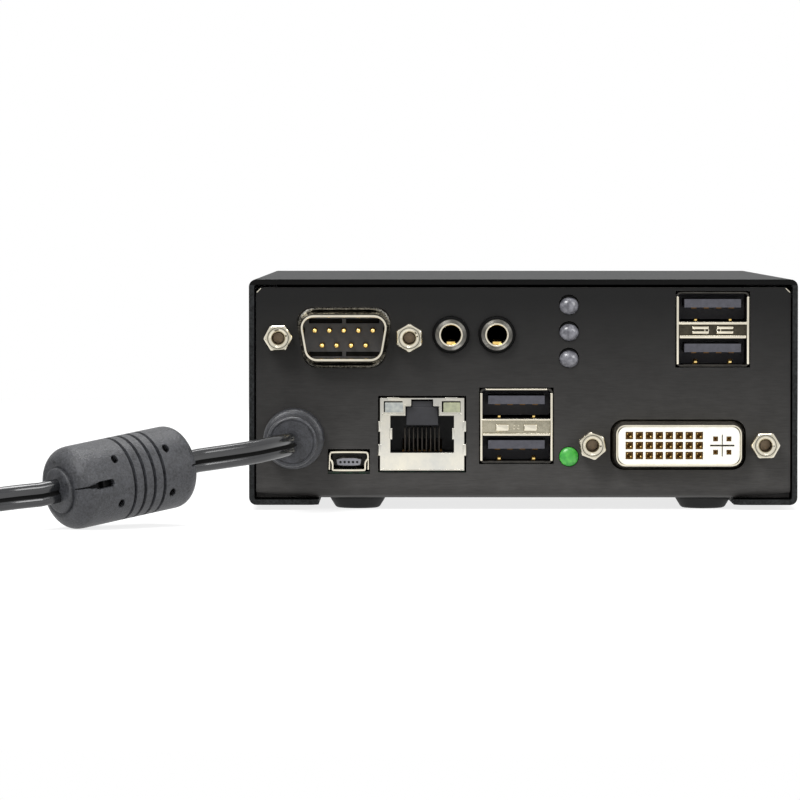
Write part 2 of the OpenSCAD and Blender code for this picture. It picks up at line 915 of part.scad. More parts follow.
module jackscrew(stem) {
    difference() {
        union() {
            cylinder(h = jackscrew_len, d = jackscrew_flats / cos(30), $fn = 6);
            cylinder(h = washer_t, d = jackscrew_flats);
            translate([0, 0, -stem])
                cylinder(h = stem + washer_t, r = stem_r);
        }
        translate([0, 0, jackscrew_len - jackscrew_hole_len])
            cylinder(h = jackscrew_hole_len + over, r = jackscrew_hole_r);
    }
}

module serial_jackscrews() {
    color([0.75, 0.74, 0.7])
        for (s = [-1, 1])
            at_panel(serial_x + s * serial_screw_pitch / 2, serial_z)
                rotate([0, 0, s < 0 ? 30 : 0])
                    jackscrew(stem_len);
}

// Video socket
module video_shell() {
    color([0.8, 0.79, 0.75])
        at_panel(video_x, video_z)
            difference() {
                union() {
                    span(flange_back, -chassis_t)
                        square([video_screw_pitch + video_flange_margin, video_flange_h], center = true);
                    span(-chassis_t - slip, video_proud)
                        rounded_box_2d(video_w, video_h, video_corner_r);
                }
                span(flange_back - over, video_proud + over)
                    rounded_box_2d(video_w - 2 * video_wall, video_h - 2 * video_wall,
                        video_corner_r - video_wall);
                for (s = [-1, 1])
                    translate([s * video_screw_pitch / 2, 0, flange_back - over])
                        cylinder(h = flange_t + 2 * over, r = stem_hole_r);
            }
}

video_grid = [for (i = [-3.5:1:3.5], j = [-1:1]) [grid_shift + i * contact_pitch, j * contact_pitch]];
video_corners = [for (s = [-1, 1], t = [-1, 1])
    [cross_shift + s * corner_pitch / 2, t * corner_pitch / 2]];
video_places = concat(
    [for (p = video_grid) [p, contact_side]], [for (p = video_corners) [p, corner_side]]);

module video_insert() {
    front = video_proud - insert_sink;
    color([0.92, 0.91, 0.86])
        at_panel(video_x, video_z)
            difference() {
                union() {
                    span(-chassis_t, front)
                        rounded_box_2d(insert_w, insert_h, insert_corner_r);
                    span(flange_back, -chassis_t)
                        rounded_box_2d(video_w - 2 * (video_wall + slip), video_h - 2 * (video_wall + slip),
                            video_corner_r - video_wall - slip);
                    translate([-video_block_w / 2, -video_rise, flange_back - video_block_d])
                        cube([video_block_w, video_rise + video_h / 2, video_block_d]);
                }
                for (p = video_places)
                    translate([p[0][0], p[0][1], front])
                        cube([p[1], p[1], 2 * contact_depth], center = true);
                translate([cross_shift, 0, front]) {
                    cube([cross_w, cross_w_slot, 2 * contact_depth], center = true);
                    cube([cross_h_slot, cross_h, 2 * contact_depth], center = true);
                }
            }
}

module video_contacts() {
    front = video_proud - insert_sink;
    color([0.6, 0.5, 0.3])
        at_panel(video_x, video_z)
            for (p = video_places)
                let (leaf = p[1] - 2 * leaf_gap, inside = leaf - 2 * leaf_t)
                    translate([p[0][0], p[0][1], front - contact_depth])
                        difference() {
                            translate([-leaf / 2, -leaf / 2, 0])
                                cube([leaf, leaf, contact_depth - contact_sink]);
                            translate([-inside / 2, -inside / 2, leaf_t])
                                cube([inside, inside, contact_depth]);
                        }
}

module video_jackscrews() {
    color([0.75, 0.74, 0.7])
        for (s = [-1, 1])
            at_panel(video_x + s * video_screw_pitch / 2, video_z)
                rotate([0, 0, s < 0 ? 20 : 0])
                    jackscrew(stem_len);
}

// Sound sockets
module sound_socket_bodies() {
    bore_r = sound_bush_r + slip;
    front = sound_proud;
    color([0.1, 0.1, 0.11])
        for (i = [0, 1])
            at_panel(sound_x + i * sound_pitch, sound_z) {
                difference() {
                    union() {
                        translate([-sound_block_w / 2, -sound_rise, -chassis_t - sound_block_d])
                            cube([sound_block_w, sound_block_h, sound_block_d]);
                        translate([0, 0, -chassis_t - slip])
                            cylinder(h = front + chassis_t + slip, d = sound_nose_d);
                    }
                    translate([0, 0, front - sound_bush_len])
                        cylinder(h = sound_bush_len + over, r = bore_r);
                    translate([0, 0, front - sound_chamfer])
                        cylinder(h = 2 * sound_chamfer, r1 = bore_r, r2 = bore_r + 2 * sound_chamfer);
                }
            }
}

module sound_socket_bushes() {
    color([0.78, 0.76, 0.7])
        for (i = [0, 1])
            at_panel(sound_x + i * sound_pitch, sound_z)
                difference() {
                    translate([0, 0, sound_proud - sound_bush_len])
                        cylinder(h = sound_bush_len - sound_lip, r = sound_bush_r);
                    translate([0, 0, sound_proud - sound_bush_len - over])
                        cylinder(h = sound_bush_len + 2 * over, r = sound_bore_r);
                }
}

// Lamps
module lamp_lens() {
    r = lamp_d / 2;
    steps = 8;
    dome = [for (i = [0:steps]) [r * cos(90 * i / steps), lamp_proud + dome_h * sin(90 * i / steps)]];
    rotate_extrude()
        polygon(concat([[0, -chassis_t - lamp_base], [r, -chassis_t - lamp_base]], dome));
}

module lamp_holder(low, high, lamps) {
    back = -chassis_t - board_gap / 2 - holder_d;
    difference() {
        translate([-holder_w / 2, low, back])
            cube([holder_w, high - low, holder_d]);
        for (y = lamps)
            translate([0, y, -chassis_t - lamp_base])
                cylinder(h = lamp_base, r = lamp_d / 2 + lamp_fit);
    }
}

module status_lamp_holder() {
    color([0.1, 0.1, 0.1])
        at_panel(lamp_x, lamp_z)
            lamp_holder(-lamp_rise, 2 * lamp_pitch + holder_w / 2, [for (i = [0:2]) i * lamp_pitch]);
}

module status_lamps() {
    color([0.6, 0.6, 0.62])
        for (i = [0:2])
            at_panel(lamp_x, lamp_z + i * lamp_pitch)
                lamp_lens();
}

module power_lamp_holder() {
    color([0.1, 0.1, 0.1])
        at_panel(lamp_x, power_lamp_z)
            lamp_holder(-power_lamp_rise, holder_w / 2, [0]);
}

module power_lamp() {
    color([0.35, 0.8, 0.35])
        at_panel(lamp_x, power_lamp_z)
            lamp_lens();
}

// USB pairs: two openings one above the other, with a hollow divider between them
divider_h = usb_h - 2 * port_h - 2 * usb_wall;
port_z = (divider_h + port_h) / 2;
port_w = usb_w - 2 * usb_wall;

module usb_shell() {
    front = usb_proud;
    color([0.82, 0.8, 0.74]) {
        difference() {
            span(front - usb_depth, front)
                rounded_box_2d(usb_w, usb_h, usb_corner_r);
            for (s = [-1, 1])
                translate([0, s * port_z, 0])
                    span(front - usb_depth + usb_wall, front + over)
                        rounded_box_2d(port_w, port_h, usb_corner_r - usb_wall);
            span(front - usb_depth + usb_wall, front - divider_sink)
                square([port_w, divider_h - 2 * usb_wall], center = true);
            span(front - divider_sink - over, front + over)
                square([port_w - 2 * usb_wall, divider_h - 2 * usb_wall], center = true);
        }
        span(front - divider_sink - usb_wall, front - divider_sink)
            square([port_w + usb_wall, divider_h - usb_wall], center = true);
        for (s = [-1, 1])
            translate([s * finger_x, 0, front - divider_sink + finger_d / 2 - slip])
                cube([finger_w, finger_h, finger_d], center = true);
    }
}

module usb_insulator() {
    front = usb_proud;
    back = front - usb_depth + usb_wall + slip;
    mouth = front - usb_mouth_depth;
    color([0.25, 0.25, 0.27]) {
        for (s = [-1, 1])
            translate([0, s * port_z, 0]) {
                span(back, mouth)
                    rounded_box_2d(port_w - 2 * slip, port_h - 2 * slip, usb_corner_r - usb_wall - slip);
                translate([-tongue_w / 2, port_h / 2 - tongue_drop - tongue_t, mouth - slip])
                    cube([tongue_w, tongue_t, usb_mouth_depth - tongue_sink + slip]);
            }
    }
}

module usb_base(rise) {
    translate([-usb_w / 2 + usb_base_inset, -usb_h / 2 - rise, usb_proud - usb_depth])
        cube([usb_w - 2 * usb_base_inset, rise, usb_depth - usb_proud - chassis_t - board_gap]);
}

module usb_contacts() {
    front = usb_proud;
    mouth = front - usb_mouth_depth;
    strip_y = port_h / 2 - tongue_drop - tongue_t - usb_strip_t;
    color([0.85, 0.68, 0.35])
        for (s = [-1, 1], i = [-1.5:1:1.5])
            translate([i * usb_strip_pitch - usb_strip_w / 2, s * port_z + strip_y, mouth])
                cube([usb_strip_w, usb_strip_t, usb_mouth_depth - tongue_sink - usb_strip_sink]);
}

module upper_usb_shell() {
    at_panel(upper_usb_x, upper_usb_z)
        usb_shell();
}

module upper_usb_insulator() {
    at_panel(upper_usb_x, upper_usb_z) {
        usb_insulator();
        color([0.25, 0.25, 0.27])
            usb_base(upper_usb_rise);
    }
}

module upper_usb_contacts() {
    at_panel(upper_usb_x, upper_usb_z)
        usb_contacts();
}

module lower_usb_shell() {
    at_panel(lower_usb_x, lower_usb_z)
        usb_shell();
}

module lower_usb_insulator() {
    at_panel(lower_usb_x, lower_usb_z) {
        usb_insulator();
        color([0.25, 0.25, 0.27])
            usb_base(lower_usb_rise);
    }
}

module lower_usb_contacts() {
    at_panel(lower_usb_x, lower_usb_z)
        usb_contacts();
}

// Network socket
mouth_top = network_h / 2 - mouth_drop;
mouth_low = mouth_top - mouth_h;

module network_mouth(margin) {
    translate([-mouth_w / 2 + margin, mouth_low + margin])
        square([mouth_w - 2 * margin, mouth_h - 2 * margin]);
}

module network_notches(margin) {
    translate([-notch_w / 2 + margin, mouth_top - over])
        square([notch_w - 2 * margin, notch_h + over - margin]);
    translate([-catch_w / 2 + margin, mouth_top + notch_h - over])
        square([catch_w - 2 * margin, catch_h + over - margin]);
}

module network_light_windows() {
    for (s = [-1, 1])
        translate([s * light_x, network_h / 2 - light_drop - light_h / 2])
            square([light_w, light_h], center = true);
}

module network_shell() {
    front = network_proud;
    color([0.88, 0.87, 0.8])
        at_panel(network_x, network_z)
            difference() {
                span(front - network_depth, front)
                    square([network_w, network_h], center = true);
                span(front - network_depth - over, front - network_wall)
                    square([network_w - 2 * network_wall, network_h - 2 * network_wall], center = true);
                span(front - network_wall - over, front + over) {
                    network_mouth(0);
                    network_notches(0);
                    network_light_windows();
                }
            }
}

module network_body() {
    front = network_proud - network_wall;
    back = network_proud - network_depth;
    side = network_w - 2 * network_wall - 2 * slip;
    high = network_h - 2 * network_wall - 2 * slip;
    color([0.1, 0.1, 0.1])
        at_panel(network_x, network_z)
            difference() {
                union() {
                    span(back, front - slip)
                        square([side, high], center = true);
                    translate([-side / 2, -network_h / 2 - network_foot, back])
                        cube([side, network_foot, network_depth - network_proud - chassis_t - board_gap]);
                }
                span(front - mouth_depth, front + over)
                    network_mouth(0);
                span(front - stop_depth, front + over)
                    network_notches(0);
                span(front - light_len - slip, front + over)
                    network_light_windows();
            }
    color([0.1, 0.1, 0.1])
        at_panel(network_x, network_z)
            translate([-notch_w / 2, mouth_top - stop_hang, front - mouth_depth])
                cube([notch_w, stop_hang + slip, stop_len]);
}

module network_contacts() {
    front = network_proud - network_wall;
    color([0.8, 0.65, 0.35])
        at_panel(network_x, network_z)
            for (i = [-3.5:1:3.5])
                translate([i * wire_pitch - wire_w / 2, mouth_low, front - mouth_depth])
                    rotate([90, 0, 90])
                        linear_extrude(wire_w)
                            polygon([[0, wire_run], [wire_t, wire_run], [wire_rise + wire_t, 0],
                                [wire_rise, 0]]);
}

module network_lamps() {
    front = network_proud - slip;
    color([0.85, 0.85, 0.7])
        at_panel(network_x, network_z)
            for (s = [-1, 1])
                translate([s * light_x, network_h / 2 - light_drop - light_h / 2, front - light_len])
                    linear_extrude(light_len)
                        square([light_w - 2 * slip, light_h - 2 * slip], center = true);
}

// Mini USB socket
module mini_usb_shell() {
    color([0.85, 0.83, 0.76])
        at_panel(mini_x, mini_z) {
            difference() {
                span(mini_proud - mini_depth, mini_proud)
                    polygon(rounded(mini_points(mini_w, mini_h), mini_corner_r));
                span(mini_proud - mini_depth + mini_wall, mini_proud + over)
                    polygon(rounded(mini_points(mini_w - 2 * mini_wall, mini_h - 2 * mini_wall),
                        mini_corner_r - mini_wall / 2));
            }
            for (s = [-1, 1])
                translate([s * (mini_w - mini_wall) / 2, -mini_h * (1 - mini_high_share) / 2, 0])
                    span(mini_proud - mini_depth, mini_proud)
                        square([mini_wall, mini_h * mini_high_share], center = true);
        }
}

module mini_usb_tongue() {
    inner_w = mini_w - 2 * mini_wall - 2 * mini_step - 2 * slip;
    inner_h = mini_h - 2 * mini_wall - 2 * slip;
    back = mini_proud - mini_depth + mini_wall;
    color([0.5, 0.5, 0.52])
        at_panel(mini_x, mini_z) {
            span(back, back + mini_back_d)
                rounded_box_2d(inner_w, inner_h, mini_corner_r);
            translate([-mini_tongue_w / 2, mini_h / 2 - mini_tongue_drop - mini_tongue_t,
                back + mini_back_d - slip])
                cube([mini_tongue_w, mini_tongue_t,
                    mini_depth - mini_wall - mini_back_d - mini_tongue_sink + slip]);
        }
}

module mini_usb_contacts() {
    back = mini_proud - mini_depth + mini_wall + mini_back_d;
    strip_y = mini_h / 2 - mini_tongue_drop - mini_tongue_t - usb_strip_t;
    color([0.8, 0.65, 0.35])
        at_panel(mini_x, mini_z)
            for (i = [-2:2])
                translate([i * mini_strip_pitch - mini_strip_w / 2, strip_y, back])
                    cube([mini_strip_w, usb_strip_t,
                        mini_depth - mini_wall - mini_back_d - 2 * mini_tongue_sink]);
}

// Power inlet
module power_inlet() {
    front = -chassis_t - board_gap / 2;
    color([0.1, 0.1, 0.1])
        at_panel(inlet_x, inlet_z)
            difference() {
                union() {
                    translate([-inlet_w / 2, -inlet_rise, front - inlet_d])
                        cube([inlet_w, inlet_h, inlet_d]);
                    translate([0, 0, front - slip])
                        cylinder(h = board_gap / 2 + slip, r = inlet_w / 2 - slip);
                }
                translate([0, 0, front - inlet_d + inlet_floor])
                    cylinder(h = inlet_d + over, r = inlet_hole_r);
            }
}

module power_inlet_pin() {
    low = -chassis_t - board_gap / 2 - inlet_d + inlet_floor;
    color([0.8, 0.78, 0.7])
        at_panel(inlet_x, inlet_z)
            translate([0, 0, low])
                cylinder(h = -low - chassis_t - inlet_pin_sink, r = inlet_pin_r);
}

// Plug, whose sleeve slides into the inlet
module plug_sleeve() {
    color([0.8, 0.78, 0.72])
        at_panel(inlet_x, inlet_z)
            translate([0, 0, plug_gap - sleeve_len])
                difference() {
                    cylinder(h = sleeve_len, d = sleeve_d);
                    translate([0, 0, -over])
                        cylinder(h = sleeve_len + 2 * over, r = sleeve_bore_r);
                }
}

module plug_grip() {
    ring_r = grip_ring_d / 2;
    body_r = grip_d / 2;
    end_r = grip_end_d / 2;
    ring_top = plug_gap + ring_len;
    outline = concat(
        [[0, plug_gap]],
        corner([0, plug_gap], [ring_r, plug_gap], [ring_r, ring_top], ring_round / 2),
        corner([ring_r, plug_gap], [ring_r, ring_top], [0, ring_top], ring_round),
        [[body_r, ring_top]],
        corner([body_r, ring_top], [end_r, grip_len], [0, grip_len], grip_round),
        [[0, grip_len]]);
    color([0.24, 0.25, 0.27])
        at_panel(inlet_x, inlet_z)
            rotate_extrude()
                polygon(outline);
}

// Route of the lead
function spline_point(a, b, c, d, t) =
    0.5 * (2 * b + (c - a) * t + (2 * a - 5 * b + 4 * c - d) * t * t + (3 * b - a - 3 * c + d) * t * t * t);

function smooth(points) =
    let (last = len(points) - 1)
    concat(
        [for (i = [0:last - 1], k = [0:route_steps - 1])
            spline_point(points[max(i - 1, 0)], points[i], points[i + 1], points[min(i + 2, last)],
                k / route_steps)],
        [points[last]]);

ferrite_middle = [ferrite_x, panel_y - ferrite_ahead, ferrite_z];
ferrite_dir = [cos(ferrite_pitch) * cos(ferrite_yaw), cos(ferrite_pitch) * sin(ferrite_yaw),
    sin(ferrite_pitch)];
ferrite_reach = ferrite_len / 2 + boss_h;
ferrite_right = ferrite_middle + ferrite_dir * ferrite_reach;
ferrite_left = ferrite_middle - ferrite_dir * ferrite_reach;
grip_end = [inlet_x, panel_y - grip_len, inlet_z];

coil_outer_r = coil_inner_r + coil_pitch * coil_turns / 2;
coil_low_z = tie_t + tie_gap + lead_w / 2;
layer_rise = lead_w + layer_gap;
coil_middle = [coil_entry[0], coil_entry[1] + coil_outer_r];

function eased(t) = let (c = min(max(t, 0), 1)) c * c * (3 - 2 * c);

function coil_point(turn) =
    let (from_middle = turn - coil_turns / 2)
    let (r = coil_inner_r + coil_pitch * abs(from_middle), angle = -90 - 360 * turn)
    [coil_middle[0] + r * cos(angle), coil_middle[1] + r * sin(angle),
     coil_low_z + layer_rise * eased(2 * from_middle + 0.5)];

coil_count = round(coil_turns * coil_steps);
coil_start = coil_point(0) + [lead_w, 0, 0];
coil_end = coil_point(coil_turns) + [0, lead_w, 0];
coil_turn_points = [for (i = [0:coil_count]) coil_point(i * coil_turns / coil_count)];
coil_path = concat([coil_start], coil_turn_points, [coil_end]);

front_path = concat([grip_end], smooth(concat([grip_end - [0, lead_w, 0]], front_route,
    [ferrite_right + ferrite_dir * lead_w])), [ferrite_right]);
rear_path = concat([ferrite_left], smooth(concat([ferrite_left - ferrite_dir * lead_w], rear_route)),
    [coil_start]);
adapter_face_y = coil_middle[1] + coil_outer_r + adapter_behind;
tail_path = [coil_end, (coil_end + [coil_end[0], adapter_face_y - relief_len, coil_end[2]]) / 2,
    [coil_end[0], adapter_face_y - relief_len, coil_end[2]]];

function path_length(path) = let (parts = [for (i = [1:len(path) - 1]) norm(path[i] - path[i - 1])])
    parts * [for (p = parts) 1];

function section(shares) = [for (s = shares) [s[0] * lead_t / 2, s[1] * lead_w / 2]];

function ring(path, i, outline) =
    let (along = unit(path[min(i + 1, len(path) - 1)] - path[max(i - 1, 0)]))
    let (side = unit([along[1], -along[0], 0]), up = cross(side, along))
    [for (q = outline) path[i] + side * q[0] + up * q[1]];

module tube(path, outline) {
    n = len(path);
    m = len(outline);
    points = concat([for (i = [0:n - 1]) each ring(path, i, outline)], [path[0], path[n - 1]]);
    walls = [for (i = [0:n - 2], j = [0:m - 1])
        let (a = i * m + j, b = i * m + (j + 1) % m)
        each [[a, a + m, b], [a + m, b + m, b]]];
    near_cap = [for (j = [0:m - 1]) [n * m, j, (j + 1) % m]];
    far_cap = [for (j = [0:m - 1]) [n * m + 1, (n - 1) * m + (j + 1) % m, (n - 1) * m + j]];
    polyhedron(points = points, faces = concat(walls, near_cap, far_cap));
}

// Least gap between the coil's turns, measured on the tube's own points
coil_outline = section(coil_section_shares);
coil_rings = [for (i = [0:len(coil_path) - 1]) ring(coil_path, i, coil_outline)];
half_turn = round(coil_steps / 2);
coil_gap = min([for (i = [1:coil_count], j = [i + half_turn:1:coil_count + 1])
    if (abs((j - i + half_turn) % coil_steps - half_turn) <= 1)
        each [for (a = coil_rings[i], b = coil_rings[j]) norm(a - b)]]);
lead_length = path_length(front_path) + 2 * ferrite_reach + path_length(rear_path)
    + path_length(coil_path) + path_length(tail_path);
echo(coil_gap = coil_gap, lead_length = lead_length, coil_outer_r = coil_outer_r);

module lead_front() {
    color([0.2, 0.2, 0.22])
        tube(front_path, section(lead_section_shares));
}

module lead_rear() {
    color([0.2, 0.2, 0.22])
        tube(rear_path, section(lead_section_shares));
}

module lead_coil() {
    color([0.2, 0.2, 0.22])
        tube(coil_path, coil_outline);
}

module lead_tail() {
    color([0.2, 0.2, 0.22])
        tube(tail_path, section(lead_section_shares));
}

module ferrite_housing() {
    r = ferrite_d / 2;
    half = ferrite_len / 2;
    grooves = [for (i = [0:groove_count - 1])
        let (at = groove_shift + (i - (groove_count - 1) / 2) * groove_pitch)
        each [for (a = [0:45:180]) [r - groove_r * sin(a), at - groove_r * cos(a)]]];
    outline = concat(
        [[0, -half - boss_h], [boss_r, -half - boss_h], [boss_r, -half]],
        corner([0, -half], [r, -half], [r, half], ferrite_round),
        grooves,
        corner([r, -half], [r, half], [0, half], ferrite_round),
        [[boss_r, half], [boss_r, half + boss_h], [0, half + boss_h]]);
    color([0.22, 0.22, 0.24])
        translate(ferrite_middle)
            rotate([0, 90 - ferrite_pitch, ferrite_yaw])
                rotate_extrude()
                    polygon(outline);
}

module coil_tie() {
    inner_w = coil_outer_r - coil_inner_r + lead_t + 2 * tie_gap;
    inner_h = lead_w + layer_rise + 2 * tie_gap;
    color([0.1, 0.1, 0.1])
        translate([coil_middle[0] - tie_w / 2, coil_middle[1] + (coil_outer_r + coil_inner_r) / 2,
            tie_t + inner_h / 2])
            rotate([90, 0, 90])
                linear_extrude(tie_w)
                    difference() {
                        rounded_box_2d(inner_w + 2 * tie_t, inner_h + 2 * tie_t, lead_t);
                        rounded_box_2d(inner_w, inner_h, lead_t - tie_t);
                    }
}

// Mains adapter
adapter_middle = [coil_end[0], adapter_face_y + adapter_l / 2];
adapter_split = adapter_h * adapter_split_share;

module adapter_relief() {
    outline = concat(
        [[0, 0], [relief_r, 0]],
        [for (i = [0:relief_grooves - 1], k = [0:3])
            let (at = (i + 0.5 + 0.25 * k) / (relief_grooves + 1))
            [relief_r + (relief_tip_r - relief_r) * at - (k == 1 || k == 2 ? relief_r - relief_tip_r : 0),
             relief_len * at]],
        [[relief_tip_r, relief_len], [0, relief_len]]);
    color([0.1, 0.1, 0.1])
        translate([coil_end[0], adapter_face_y, coil_end[2]])
            rotate([90, 0, 0])
                rotate_extrude()
                    polygon(outline);
}

module adapter_shell() {
    color([0.13, 0.13, 0.13])
        translate([adapter_middle[0], adapter_middle[1], 0])
            difference() {
                linear_extrude(adapter_split)
                    rounded_box_2d(adapter_w, adapter_l, adapter_corner_r);
                translate([0, 0, adapter_wall])
                    linear_extrude(adapter_h)
                        rounded_box_2d(adapter_w - 2 * adapter_wall, adapter_l - 2 * adapter_wall,
                            adapter_corner_r - adapter_wall / 2);
            }
}

module adapter_lid() {
    blade_y = adapter_l / 2 - blade_inset;
    color([0.15, 0.15, 0.15])
        translate([adapter_middle[0], adapter_middle[1], 0])
            difference() {
                translate([0, 0, adapter_split])
                    linear_extrude(adapter_h - adapter_split)
                        rounded_box_2d(adapter_w, adapter_l, adapter_corner_r);
                translate([0, 0, adapter_split - over])
                    linear_extrude(adapter_h - adapter_split - adapter_wall + over)
                        rounded_box_2d(adapter_w - 2 * adapter_wall, adapter_l - 2 * adapter_wall,
                            adapter_corner_r - adapter_wall / 2);
                for (s = [-1, 1])
                    translate([s * blade_pitch / 2, blade_y, adapter_h - adapter_wall])
                        cube([blade_t + 2 * slip, blade_w + 2 * slip, 4 * adapter_wall], center = true);
            }
}

module adapter_blades() {
    blade_y = adapter_middle[1] + adapter_l / 2 - blade_inset;
    color([0.8, 0.8, 0.78])
        for (s = [-1, 1])
            translate([adapter_middle[0] + s * blade_pitch / 2 - blade_t / 2, blade_y - blade_w / 2,
                adapter_h - adapter_wall - blade_root])
                cube([blade_t, blade_w, blade_len + adapter_wall + blade_root]);
}

module adapter_supply() {
    inner_w = adapter_w - 2 * adapter_wall - 2 * supply_clear;
    inner_l = adapter_l - 2 * adapter_wall - 2 * supply_clear;
    core_h = adapter_h - 2 * adapter_wall - supply_board_t - blade_root;
    color([0.5, 0.4, 0.2])
        translate([adapter_middle[0], adapter_middle[1], adapter_wall]) {
            block(inner_w, inner_l, supply_board_t);
            translate([0, -transformer_l / 2, supply_board_t])
                block(transformer_w, transformer_l, core_h - supply_clear);
        }
}

cover();
chassis();
cover_screws();
rubber_feet();
main_board();
upper_board();
floor_pillars();
board_spacers();
board_screws();
board_headers();
processor();
heat_sink();
memory_chips();
interface_chips();
network_transformer();
capacitors();
inductors();
crystal();
serial_shell();
serial_insulator();
serial_pins();
serial_jackscrews();
sound_socket_bodies();
sound_socket_bushes();
status_lamp_holder();
status_lamps();
power_lamp_holder();
power_lamp();
upper_usb_shell();
upper_usb_insulator();
upper_usb_contacts();
lower_usb_shell();
lower_usb_insulator();
lower_usb_contacts();
network_shell();
network_body();
network_contacts();
network_lamps();
mini_usb_shell();
mini_usb_tongue();
mini_usb_contacts();
video_shell();
video_insert();
video_contacts();
video_jackscrews();
power_inlet();
power_inlet_pin();
plug_sleeve();
plug_grip();
lead_front();
ferrite_housing();
lead_rear();
lead_coil();
coil_tie();
lead_tail();
adapter_relief();
adapter_shell();
adapter_lid();
adapter_blades();
adapter_supply();
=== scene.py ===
from math import atan2, cos, hypot, pi, radians, sin, sqrt, tan

import bmesh
import bpy
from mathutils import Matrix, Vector


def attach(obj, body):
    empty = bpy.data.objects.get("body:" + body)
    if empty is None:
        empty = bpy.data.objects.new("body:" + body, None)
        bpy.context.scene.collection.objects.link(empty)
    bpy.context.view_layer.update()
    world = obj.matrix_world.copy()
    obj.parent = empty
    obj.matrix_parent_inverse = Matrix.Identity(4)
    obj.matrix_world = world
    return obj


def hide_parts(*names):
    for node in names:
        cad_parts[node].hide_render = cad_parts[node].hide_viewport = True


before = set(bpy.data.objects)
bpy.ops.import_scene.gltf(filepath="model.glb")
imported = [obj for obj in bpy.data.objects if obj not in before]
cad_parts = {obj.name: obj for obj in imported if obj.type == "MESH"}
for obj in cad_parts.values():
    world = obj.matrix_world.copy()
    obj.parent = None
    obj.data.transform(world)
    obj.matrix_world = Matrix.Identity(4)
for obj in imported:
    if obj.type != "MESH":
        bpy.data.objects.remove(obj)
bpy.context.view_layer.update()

scene = bpy.context.scene
receiver = "receiver"
powerLead = "power_lead"
panelY = -69.8    # the connector panel's front face
bothSides = (-1, 1)
leastRadius = 0.004    # a turned end closes to a point of this size


def metres(point):
    return Vector(point) / 1000.0


def addObject(name, data):
    made = bpy.data.objects.new(name, data)
    scene.collection.objects.link(made)
    return made


print("camera")
cameraPlace = {
    "position": (-18.8, -1019.8, 56.7),
    "tiltDown": 2.146,
    "turn": 0.289,
    "focalLength": 223.4,
}
cameraData = bpy.data.cameras.new("studioCamera")
cameraData.lens = cameraPlace["focalLength"]
cameraData.sensor_width = 36.0
cameraData.clip_start = 0.05
cameraData.clip_end = 20.0
cameraObject = addObject("studioCamera", cameraData)
cameraObject.location = metres(cameraPlace["position"])
cameraObject.rotation_euler = (
    radians(90.0 - cameraPlace["tiltDown"]), 0.0, radians(cameraPlace["turn"]))
scene.camera = cameraObject
scene.view_settings.view_transform = "Standard"


# Finishes
def hexColor(code):
    channels = [int(code[i:i + 2], 16) / 255.0 for i in (1, 3, 5)]
    linear = [c / 12.92 if c <= 0.04045 else ((c + 0.055) / 1.055) ** 2.4 for c in channels]
    return (*linear, 1.0)


def addNode(tree, kind, settings=None, links=None):
    # A setting is the node's own where it has one of that name, and otherwise a socket's
    node = tree.nodes.new(kind)
    for key, value in (settings or {}).items():
        if key == "stops":
            for element, (position, shade) in zip(node.color_ramp.elements, value):
                element.position, element.color = position, hexColor(shade)
        elif isinstance(key, str) and hasattr(node, key):
            setattr(node, key, value)
        else:
            node.inputs[key].default_value = value
    for key, source in (links or {}).items():
        tree.links.new(source, node.inputs[key])
    return node


def perMillimetre(size):
    # Noise scale whose patches are this many millimetres across
    return 1000.0 / size


def startMaterial(name):
    # Comes with its tree, and the place that its textures are laid out by
    material = bpy.data.materials.new(name)
    material.use_nodes = True
    tree = material.node_tree
    tree.nodes.clear()
    return material, tree, addNode(tree, "ShaderNodeTexCoord").outputs["Object"]


